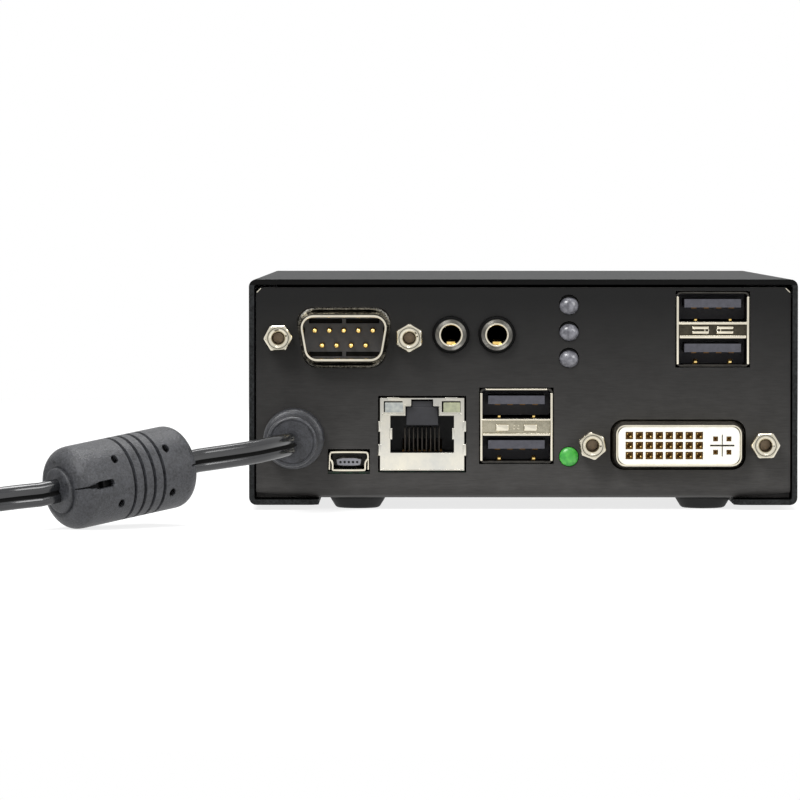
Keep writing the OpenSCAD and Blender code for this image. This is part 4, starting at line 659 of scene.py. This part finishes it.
print("stage")
stageLook = {"radius": 6.0, "shadowRadius": 0.5, "fade": 0.35}
floorMesh = bpy.data.meshes.new("studioFloor")
reach = stageLook["radius"]
floorMesh.from_pydata([(-reach, -reach, 0), (reach, -reach, 0), (reach, reach, 0), (-reach, reach, 0)],
    [], [(0, 1, 2, 3)])
floorObject = addObject("studioFloor", floorMesh)
floorMaterial, tree, place = startMaterial("whiteStudioPaper")
distance = addNode(tree, "ShaderNodeVectorMath", {"operation": "LENGTH"}, {0: place}).outputs["Value"]
fade = addNode(tree, "ShaderNodeMapRange",
    {"From Min": stageLook["fade"], "From Max": stageLook["shadowRadius"],
    "To Min": 0.0, "To Max": 1.0}, {"Value": distance}).outputs["Result"]
paper = addNode(tree, "ShaderNodeBsdfDiffuse", {"Color": (0.3, 0.3, 0.3, 1.0)}).outputs["BSDF"]
glow = addNode(tree, "ShaderNodeEmission", {"Color": (1, 1, 1, 1), "Strength": 0.78}).outputs["Emission"]
near = addNode(tree, "ShaderNodeAddShader", links={0: paper, 1: glow}).outputs["Shader"]
far = addNode(tree, "ShaderNodeEmission", {"Color": (1, 1, 1, 1), "Strength": 1.0}).outputs["Emission"]
both = addNode(tree, "ShaderNodeMixShader", links={0: fade, 1: near, 2: far}).outputs["Shader"]
addNode(tree, "ShaderNodeOutputMaterial", links={"Surface": both})
floorMesh.materials.append(floorMaterial)

world = bpy.data.worlds.new("studioWorld")
scene.world = world
world.use_nodes = True
tree = world.node_tree
tree.nodes.clear()
rays = addNode(tree, "ShaderNodeLightPath").outputs
seen = rays["Is Camera Ray"]
for ray in ("Is Glossy Ray", "Is Transmission Ray"):
    seen = addNode(tree, "ShaderNodeMath", {"operation": "MAXIMUM"}, {0: seen, 1: rays[ray]}).outputs["Value"]
level = addNode(tree, "ShaderNodeMapRange", {"To Min": 0.5, "To Max": 1.0}, {"Value": seen}).outputs["Result"]
sky = addNode(tree, "ShaderNodeBackground", {"Color": (1, 1, 1, 1)}, {"Strength": level}).outputs[0]
addNode(tree, "ShaderNodeOutputWorld", links={"Surface": sky})

# Where each square lamp hangs in metres, and its power
lamps = {
    "keyLamp": ((-0.5, -0.9, 0.95), 13.0),
    "fillLamp": ((0.75, -0.8, 0.5), 5.0),
    "topLamp": ((0.0, 0.1, 1.0), 7.0),
}
for name, (location, power) in lamps.items():
    lampData = bpy.data.lights.new(name, "AREA")
    lampData.shape = "SQUARE"
    lampData.size = 0.5
    lampData.energy = power
    lampObject = addObject(name, lampData)
    lampObject.location = location
    aim = Vector((-0.01, 0.0, 0.02)) - Vector(location)
    lampObject.rotation_euler = aim.to_track_quat("-Z", "Y").to_euler()

print("case")
caseEdges = {"ease": 0.18, "coverInside": 43.1, "backEdge": 50.5, "backFrom": 72.0, "closeUp": 1.0062,
    "cutCorner": (50.15, 42.65), "bare": 0.1}
coverObject = refine("cover",
    ["powderCoatedSteel", "powderCoatedSteel", "shadedRecess"], caseEdges["ease"], 3)
bm = bmesh.new()
bm.from_mesh(coverObject.data)
bmesh.ops.bisect_plane(bm, geom=bm.verts[:] + bm.edges[:] + bm.faces[:], dist=1e-7,
    plane_co=(0, 0, caseEdges["coverInside"] / 1000.0), plane_no=(0, 0, 1))
for face in bm.faces:
    # The top rim faces forward into the shade
    if face.normal.y < -0.9 and face.calc_center_median().z * 1000.0 > caseEdges["coverInside"]:
        face.material_index = 2
bm.to_mesh(coverObject.data)
bm.free()
chassisObject = refine("chassis", ["bakedEnamelPanel", "rubbedEnamelEdge"], caseEdges["ease"])
for vertex in chassisObject.data.vertices:
    # The back panel's side edges spring outwards until they touch the cover
    if vertex.co.y * 1000.0 > caseEdges["backFrom"] and abs(vertex.co.x) * 1000.0 > caseEdges["backEdge"]:
        vertex.co.x *= caseEdges["closeUp"]
bm = bmesh.new()
for side in bothSides:
    # Bare metal where the panel's top corners are sheared off, in bright nickel as a painted glint
    rings = []
    for t in (0.1, 0.9):
        x, z = side * (caseEdges["cutCorner"][0] + t), caseEdges["cutCorner"][1] - t
        rings.append([onPanel(x - side * q, z - q, proud) for q, proud in
            ((0, -0.4), (0, 0.05), (caseEdges["bare"], 0.05), (caseEdges["bare"], -0.4))])
    loftInto(bm, rings)
addPiece("cornerEdgeGlints", bm, ["brightNickelPlate"])
refine("rubber_feet", ["mouldedRubber"], 0.12)
refine("cover_screws", ["blackOxideScrew"], 0.1)


# The middle of each socket, across and up, and the heights of the lamps
print("sockets")
sockets = {
    "serial": (-34.3, 33.05), "video": (29.65, 12.55), "soundLeft": (-13.85, 33.6),
    "soundRight": (-5.05, 33.6), "upperUsb": (36.25, 34.65), "lowerUsb": (-1.3, 16.15),
    "network": (-19.35, 14.55), "mini": (-33.4, 9.3),
    "lampX": 8.75, "statusLamps": (29.2, 34.28, 39.36), "powerLamp": 10.25,
}


def addShell(name, socket, look, replaced):
    # One closed skin, over the lip. Each step is how far the outline has grown, and how proud it lies
    plate = roundedOutline(*look["flange"], 1.0, 6)
    sections = [(plate, -1.75), (plate, -1.05)]
    for grow, proud in look["steps"]:
        size = (look["width"] + 2 * grow, look["height"] + 2 * grow, look["corner"] + grow)
        sections.append((roundedOutline(*size, 6, look["slant"]), proud))
    bm = bmesh.new()
    # Painted shade on the flange and the first folds out of it
    loftInto(bm, [ringAt(outline, proud, sockets[socket]) for outline, proud in sections], loop=True,
        finish=[1, 1, 1] + [0] * (len(sections) - 3))
    addPiece(name, bm, ["brightNickelPlate", "paintedShadeSteel"], replaced)


# Serial plug: a shell that narrows to its rolled lip, and a fold in its cut-out
serial = {
    "width": 17.45, "height": 8.95, "corner": 2.5, "slant": 10.0, "flange": (31.6, 11.7),
    "steps": [(0.9, -1.02), (0.65, -0.75), (0.55, -0.2), (0.18, 2.6), (0.04, 4.2), (-0.02, 4.48),
        (-0.08, 4.6), (-0.5, 4.6), (-0.58, 4.5), (-0.6, 4.3), (-0.6, -1.75)],
    "cut": (19.3, 11.7, 3.5), "fold": [(-0.06, -0.3), (-0.5, -0.12), (-0.95, -0.32)],
    "shade": [(0.38, 6.7, 2.72, 3.6, -1.3, -0.5, 0.03), (0.38, 6.7, -3.6, -2.72, -1.3, -0.5, 0.03),
        (7.47, 8.0, -3.4, 1.9, -1.8, -0.9, 0.03)],
}
addShell("serialShell", "serial", serial, ("serial_shell",))
cutWidth, cutHeight, cutCorner = serial["cut"]
bm = bmesh.new()
loftInto(bm, [ringAt(roundedOutline(cutWidth + grow, cutHeight + grow, cutCorner, 6, serial["slant"]), proud,
    sockets["serial"]) for grow, proud in serial["fold"]], closedEnds=(False, False))
addPiece("serialShellFold", bm, ["scuffedFold"], smooth=60.0)
# Painted shade: black plates on the floors of the recesses in the insulator's face
blockPiece("serialShade", "serial", ["shadedRecess"], serial["shade"])

# Video socket: the same make, round the white insert and its contacts, whose glints are painted below
video = {
    "width": 24.2, "height": 8.1, "corner": 1.9, "slant": 0.0, "flange": (36.9, 10.1),
    "steps": [(1.0, -1.02), (0.76, -0.8), (0.7, -0.3), (0.12, 2.4), (0.0, 3.6), (-0.05, 3.88),
        (-0.14, 4.0), (-0.34, 4.0), (-0.42, 3.85), (-0.42, 2.9), (-0.2, 2.6), (-0.2, -1.75)],
    "pitch": 1.905, "shift": -2.8, "face": 3.72,
}
addShell("videoShell", "video", video, ("video_shell",))

# Jackscrews: hexagons with turned corners, a ring and a countersunk thread
jackscrew = {"flats": 4.86, "length": 4.8, "chamfer": 0.36, "hole": 1.1, "sink": 1.72, "stem": 1.35,
    "depth": 3.6, "thread": 0.18, "threadFrom": 0.62, "ridge": 0.05}


def hexagon(flats, cap, turn, count=72):
    points = []
    for i in range(count):
        step = 2 * pi * i / count
        a = step + radians(turn)
        r = min(flats / 2 / cos(step % (pi / 3) - pi / 6), cap)
        points.append((r * cos(a), r * sin(a)))
    return points


def addJackscrews(name, socket, spacing, turns, replaced):
    bm = bmesh.new()
    centre, flats, length = sockets[socket], jackscrew["flats"], jackscrew["length"]
    cut, hole, stem = jackscrew["chamfer"], jackscrew["hole"], jackscrew["stem"]
    corner, threadTop = flats / 2 / cos(pi / 6), length - jackscrew["threadFrom"]
    # Width across the flats, or 0 where round, the corners' radius, and how proud it lies
    body = [(0, stem, -5.0), (0, stem, 0.0), (flats, corner - 0.12, 0.02), (flats, corner - 0.06, 0.25),
        (flats, corner - 0.06, length - cut), (flats - 0.7 * cut, corner - 0.55 * cut, length - 0.35 * cut),
        (flats - 1.4 * cut, corner - 1.2 * cut, length), (0, 2.04, length), (0, 2.0, length - 0.12),
        (0, 1.94, length - 0.12), (0, 1.9, length), (0, jackscrew["sink"], length),
        (0, 1.6, length - 0.12), (0, 1.3, length - 0.32), (0, hole, threadTop)]
    # Painted highlight: bright nickel on the chamfer and countersink; painted shade on the ring
    bands = [0, 0, 0, 0, 2, 2, 0, 3, 3, 3, 0, 2, 2, 0]
    # The thread runs down the hole as fine ridges
    thread = [(0, hole - 0.005 - jackscrew["ridge"] * (k % 2), threadTop - jackscrew["thread"] * k)
        for k in range(int(jackscrew["depth"] / jackscrew["thread"]) + 1)]
    for side, turn in zip(bothSides, turns):
        middle = (centre[0] + side * spacing / 2, centre[1])
        for rows, ends, finish in ((body, (True, False), bands), (thread, (False, True), 1)):
            loftInto(bm, [ringAt(hexagon(across or 4 * r, r, turn), proud, middle)
                for across, r, proud in rows], ends, finish)
    bmesh.ops.remove_doubles(bm, verts=bm.verts[:], dist=6e-6)
    addPiece(name, bm,
        ["satinNickelPlate", "drawnBrass", "brightNickelPlate", "paintedShadeGroove"], replaced, 28.0)


addJackscrews("serialJackscrews", "serial", 25.0, (2.0, 30.0), ("serial_jackscrews",))
addJackscrews("videoJackscrews", "video", 33.0, (40.0, 1.0), ("video_jackscrews",))

# Sound sockets: black nose darkened further as painted shade, turned steel face, bright mouth, a well in
# painted shade and the contact spring inside
sound = {"face": 3.05, "mouth": 2.2, "bore": 1.81, "proud": 1.6, "toolMark": 0.12, "springThick": 0.6}
proud, face, bore = sound["proud"], sound["face"], sound["bore"]
noseProfile = [(3.5, -1.3), (3.5, 0.9), (3.47, 1.3), (3.32, proud - 0.1), (3.2, proud),
    (face + 0.04, proud), (face + 0.02, proud - 0.5), (face + 0.02, -1.3)]
faceProfile = [(face, -1.2), (face, proud - 0.2), (face - 0.08, proud - 0.08)]
markRadius = face - sound["toolMark"]
while markRadius > sound["mouth"] + 0.1:
    faceProfile += [(markRadius, proud - 0.08), (markRadius - 0.06, proud - 0.11)]
    markRadius -= sound["toolMark"]
mouthProfile = [(sound["mouth"] + 0.08, proud - 0.1), (sound["mouth"] + 0.05, proud), (2.02, proud),
    (1.92, proud - 0.08), (1.83, proud - 0.3), (bore, proud - 0.7), (bore, proud - 2.2)]
wellProfile = [(bore, proud - 2.2), (bore, proud - 8.5)]
springSteps = [(0.0, 0.78 - 0.25 * t, -1.3 + 0.4 * sin(pi * min(1.0, t * 1.3)) ** 1.5,
    proud - 0.45 - 3.6 * t) for t in (k / 8 for k in range(9))]
for name, nodes in (("soundLeft", ("sound_socket_bodies", "sound_socket_bushes")), ("soundRight", ())):
    bm = bmesh.new()
    turnInto(bm, noseProfile, sockets[name])
    addPiece(name + "Nose", bm, ["shadedRecess"], nodes[:1])
    bm = bmesh.new()
    for skin, profile in enumerate((faceProfile, mouthProfile, wellProfile)):
        turnInto(bm, profile, sockets[name], 72, closedEnds=(False, skin == 2), finish=skin)
    bmesh.ops.remove_doubles(bm, verts=bm.verts[:], dist=1e-6)
    addPiece(name + "Bush", bm,
        ["turnedSteelFace", "brightNickelPlate", "shadedRecess"], nodes[1:], 30.0)
    bm = bmesh.new()
    leafInto(bm, springSteps, sound["springThick"], sockets[name])
    addPiece(name + "Spring", bm, ["goldFlash"])
for name in ("soundLeft", "soundRight"):
    # The sockets' bodies behind the panel
    blockPiece(name + "Body", name, ["glassFilledNylon"],
        rows=[(-4.1, 4.1, -6.65, 2.55, -14.0, -1.35, 0.2)])

# Lamps: cast lenses with a collar in painted shade and a dome, which sits low in the status lamps' holes
collar = [(1.84, -2.4), (1.84, -0.35), (1.76, -0.22)]
domes = {
    "status": {"radius": 1.62, "broad": 1.12, "rise": 1.1, "drop": 0.25, "slot": "lens_grey",
        "finish": "hazedClearEpoxy"},
    "power": {"radius": 1.83, "broad": 1.0, "rise": 0.75, "drop": 0.0, "slot": "lens_green",
        "finish": "greenTintedEpoxy"},
}


def addLamp(name, kind, height, replaced=()):
    dome = domes[kind]
    bm = bmesh.new()
    turnInto(bm, collar, (sockets["lampX"], height), 48, finish=1)
    profile = [(dome["radius"], -0.3)]
    profile += [(max(dome["radius"] * x, leastRadius), dome["rise"] * y) for x, y in quarter(8)]
    loftInto(bm, [ringAt([(dome["broad"] * x, z) for x, z in circle(radius, 48)], proud,
        (sockets["lampX"], height - dome["drop"])) for radius, proud in profile])
    addPiece(name, bm, [dome["finish"], "shadedRecess"], replaced, 35.0)


for i, height in enumerate(sockets["statusLamps"]):
    addLamp("statusLamp" + str(i + 1), "status", height, ("status_lamps",) if i == 0 else ())
addLamp("powerLamp", "power", sockets["powerLamp"], ("power_lamp",))

# USB stacks: bright bars, a shell and bars in painted shade, the fold between the openings, and the
# springs, each with the floor of its opening, its rise and half its width
usb = {
    "width": 13.9, "height": 14.3, "wall": 0.33, "depth": 17.0, "proud": 0.5,
    "springX": 3.3, "springs": [(-6.82, 1.2, 0.42), (1.72, 0.4, 0.36)],
    "sideBars": [(6.49, 6.95, -6.7, 6.3, -1.0, 0.5, 0.12)],
    "lowBar": (-5.6, 5.6, -6.95, -6.73, -1.0, 0.2, 0.08, 1),
    "web": (-6.57, 6.57, -1.7, 1.3, -17.0, -0.2, 0.04, 2),
    "fingerRing": [(0.5, -0.3), (0.5, -0.1), (0.44, 0.0), (0.3, 0.0), (0.26, -0.1), (0.26, -0.3)],
}
usbFolds = {
    "upperUsb": {
        "node": "upper_usb_shell", "finish": "shadedFold",
        "topBar": (-5.9, 5.9, 6.85, 7.15, -1.0, 0.4, 0.1, 1),
        "rails": [(-6.57, 6.57, 0.92, 1.42, -0.4, 0.52, 0.1), (-6.37, 6.37, -1.75, -1.15, -0.4, 0.54, 0.16)],
        "fingers": [(0.75, 3.95, 0.0, 0.56, -0.3, 0.3, 0.18), (0.75, 3.95, -0.88, -0.34, -0.3, 0.3, 0.18)],
        "rings": [(-1.15, -0.17), (1.15, -0.17)]},
    "lowerUsb": {
        "node": "lower_usb_shell", "finish": "shadedFoldedNickel",
        "topBar": (-5.9, 5.9, 6.85, 7.15, -1.0, 0.4, 0.1),
        "rails": [(-6.57, 6.57, 1.02, 1.36, -0.4, 0.52, 0.1), (-6.47, 6.47, -1.9, -1.4, -0.4, 0.54, 0.16)],
        "fingers": [(1.4, 4.0, -1.05, 0.34, -0.3, 0.3, 0.26), (0.25, 0.62, -0.7, -0.45, -0.3, -0.08, 0.08),
        (0.25, 0.62, -0.1, 0.1, -0.3, -0.08, 0.07)],
        "rings": []},
}
usbOuter = roundedOutline(usb["width"], usb["height"], 0.8, 5)
usbInner = roundedOutline(usb["width"] - 2 * usb["wall"], usb["height"] - 2 * usb["wall"], 0.5, 5)
usbSections = [(usbOuter, -usb["depth"]), (usbOuter, 0.02), (shrink(usbOuter, 0.08), 0.1), (usbInner, 0.1),
    (usbInner, -usb["depth"])]
for name, fold in usbFolds.items():
    centre = sockets[name]
    bm = bmesh.new()
    for floorUp, rise, half in usb["springs"]:
        for side in bothSides:
            leafInto(bm, [(side * usb["springX"], half * (0.62 + 0.38 * min(1.0, 3 * t)),
                floorUp + rise * sin(pi * (0.18 + 0.82 * t)) ** 0.8,
                usb["proud"] - 0.15 - 2.6 * t) for t in (k / 6 for k in range(7))], 0.3, centre)
    addPiece(name + "Springs", bm, ["goldFlash"])
    bm = bmesh.new()
    loftInto(bm, [ringAt(outline, q, centre) for outline, q in usbSections], loop=True, finish=1)
    addBlocks(bm, centre, usb["sideBars"], bothSides)
    addBlocks(bm, centre, [fold["topBar"], usb["lowBar"], usb["web"]] + fold["rails"])
    addBlocks(bm, centre, fold["fingers"], bothSides)
    for across, up in fold["rings"]:
        turnInto(bm, usb["fingerRing"], (centre[0] + across, centre[1] + up), 24, loop=True)
    addPiece(name + "Shell", bm, ["brightNickelPlate", "paintedShadeSteel", fold["finish"]],
        (fold["node"],))

# Network socket: the shield's tabs, the lamps, the latch ramp and the contact comb in painted shade
network = {
    "tabs": [(7.75, 8.45, 0.44, 2.55, -0.9, 0.55, 0.18), (7.75, 8.45, -4.15, -1.85, -0.9, 0.55, 0.18),
        (5.72, 6.3, -1.0, 1.2, -2.4, 0.53, 0.1), (3.3, 7.6, 3.6, 3.98, 0.3, 0.6, 0.12),
        (2.15, 3.45, 5.35, 5.62, 0.3, 0.6, 0.1), (3.25, 3.5, 3.7, 5.5, 0.3, 0.6, 0.1),
        (4.35, 6.75, 6.5, 7.1, -0.8, 0.56, 0.14)],
    "sill": [(-7.9, 7.9, -6.95, -6.72, 0.3, 0.58, 0.1)],
    "lamps": [(-7.15, -3.6, 4.15, 6.1, -6.0, 0.56, 0.16), (4.05, 7.3, 4.15, 6.1, -6.0, 0.56, 0.16, 1)],
    "ramp": [(-3.1, 3.1, 1.65, 5.3, -6.0, -0.45, 0.2), (-2.0, 2.0, 5.2, 6.4, -6.0, -0.4, 0.15)],
    "comb": [(0.82 * i - 3.42, 0.82 * i - 3.18, -3.4, 1.2, -6.2, -2.6, 0.06) for i in range(9)],
}
blockPiece("networkTabs", "network", ["tinPlatedShield"], network["tabs"], network["sill"])
blockPiece("networkLamps", "network", ["milkyGreyLamp", "milkyLimeLamp"],
    rows=network["lamps"], replaced=("network_lamps",))
blockPiece("networkLatchRamp", "network", ["latchPolyester"], rows=network["ramp"])
blockPiece("networkComb", "network", ["shadedSprings"], rows=network["comb"])
refine("network_shell", ["tinPlatedShield"], 0.07)

# Mini USB: a shell with stepped sides and free leaves, and its tongue. The shell's steps are how far
# the outline is drawn in, and how proud it lies
mini = {
    "rightHalf": [(2.95, -1.88), (3.2, -1.75), (3.32, -1.5), (3.32, -0.35), (3.45, -0.02), (3.75, 0.3),
        (3.87, 0.6), (3.87, 1.35), (3.7, 1.82), (3.25, 2.03)],
    "steps": [(0.0, -8.5), (0.0, 0.13), (0.05, 0.22), (0.13, 0.25), (0.29, 0.25), (0.37, 0.22), (0.42, 0.13),
        (0.42, -8.5)],
    "leaves": [(3.58, 3.87, -1.6, 0.5, -8.5, 0.25, 0.1)],
    "tongue": [(2.0, -0.82), (2.3, -0.45), (2.38, 0.62)], "back": [(2.7, -1.35), (3.2, 0.3), (3.2, 1.4)],
    "contact": [(0.23, -0.6), (0.23, -0.44), (0.18, -0.44)], "contactPitch": 0.8, "contactDrop": 0.12,
}


def rounded(half, rounds):
    # The whole outline from its right half, with its corners cut into soft bends
    points = half + [(-x, z) for x, z in reversed(half)]
    for _ in range(rounds):
        points = [(a[0] * share + b[0] * (1 - share), a[1] * share + b[1] * (1 - share))
            for a, b in zip(points, points[1:] + points[:1]) for share in (0.75, 0.25)]
    return points


centre = sockets["mini"]
outer, tongue, back = rounded(mini["rightHalf"], 2), rounded(mini["tongue"], 1), rounded(mini["back"], 1)
bm = bmesh.new()
loftInto(bm, [ringAt(shrink(outer, inset), q, centre) for inset, q in mini["steps"]], loop=True)
addBlocks(bm, centre, mini["leaves"], bothSides)
addPiece("miniShell", bm, ["brightNickelPlate"], ("mini_usb_shell",))
bm = bmesh.new()
loftInto(bm, [ringAt(shrink(tongue, inset), q, centre)
    for inset, q in ((0.0, -7.0), (0.0, -0.55), (0.08, -0.47))])
loftInto(bm, [ringAt(back, q, centre) for q in (-8.0, -5.5)], finish=2)
# Painted shade: dark dots where the contacts sit in the tongue
for i in range(-2, 3):
    turnInto(bm, mini["contact"], (centre[0] + i * mini["contactPitch"], centre[1] - mini["contactDrop"]), 16,
        finish=1)
addPiece("miniTongue", bm, ["paleTongue", "shadedRecess", "glassFilledNylon"],
    ("mini_usb_tongue",))

# Painted glints: small gold blocks at two corners of each contact
glints = []
for i in range(8):
    for j in (-1, 0, 1):
        x, z = video["shift"] + (i - 3.5) * video["pitch"], j * video["pitch"]
        glints += [(x + 0.12, x + 0.5, z - 0.42, z - 0.08, 0.9, video["face"] - 0.55, 0.1),
            (x - 0.52, x - 0.22, z + 0.2, z + 0.46, 0.9, video["face"] - 0.7, 0.08)]
blockPiece("videoGlints", "video", ["goldFlash"], rows=glints)

print("inner pieces")
innerFinishes = {
    "solderMaskedLaminate": "main_board upper_board",
    "satinNickelPlate": "floor_pillars board_screws crystal",
    "drawnBrass": "board_spacers",
    "glassFilledNylon":
        "board_headers processor memory_chips interface_chips network_transformer "
        "status_lamp_holder power_lamp_holder network_body power_inlet",
    "blackAnodised": "heat_sink",
    "capacitorSleeve": "capacitors",
    "sinteredFerrite": "inductors",
    "greyPolyester": "serial_insulator",
    "tonguePolyester": "upper_usb_insulator lower_usb_insulator",
    "darkBronze": "upper_usb_contacts lower_usb_contacts network_contacts video_contacts",
    # Painted shade on the mini USB contacts deep in their socket
    "shadedRecess": "mini_usb_contacts",
    "whitePolyester": "video_insert",
    "brightNickelPlate": "power_inlet_pin",
    "goldFlash": "serial_pins",
}
for finish, nodes in innerFinishes.items():
    for node in nodes.split():
        dress(node, finish)
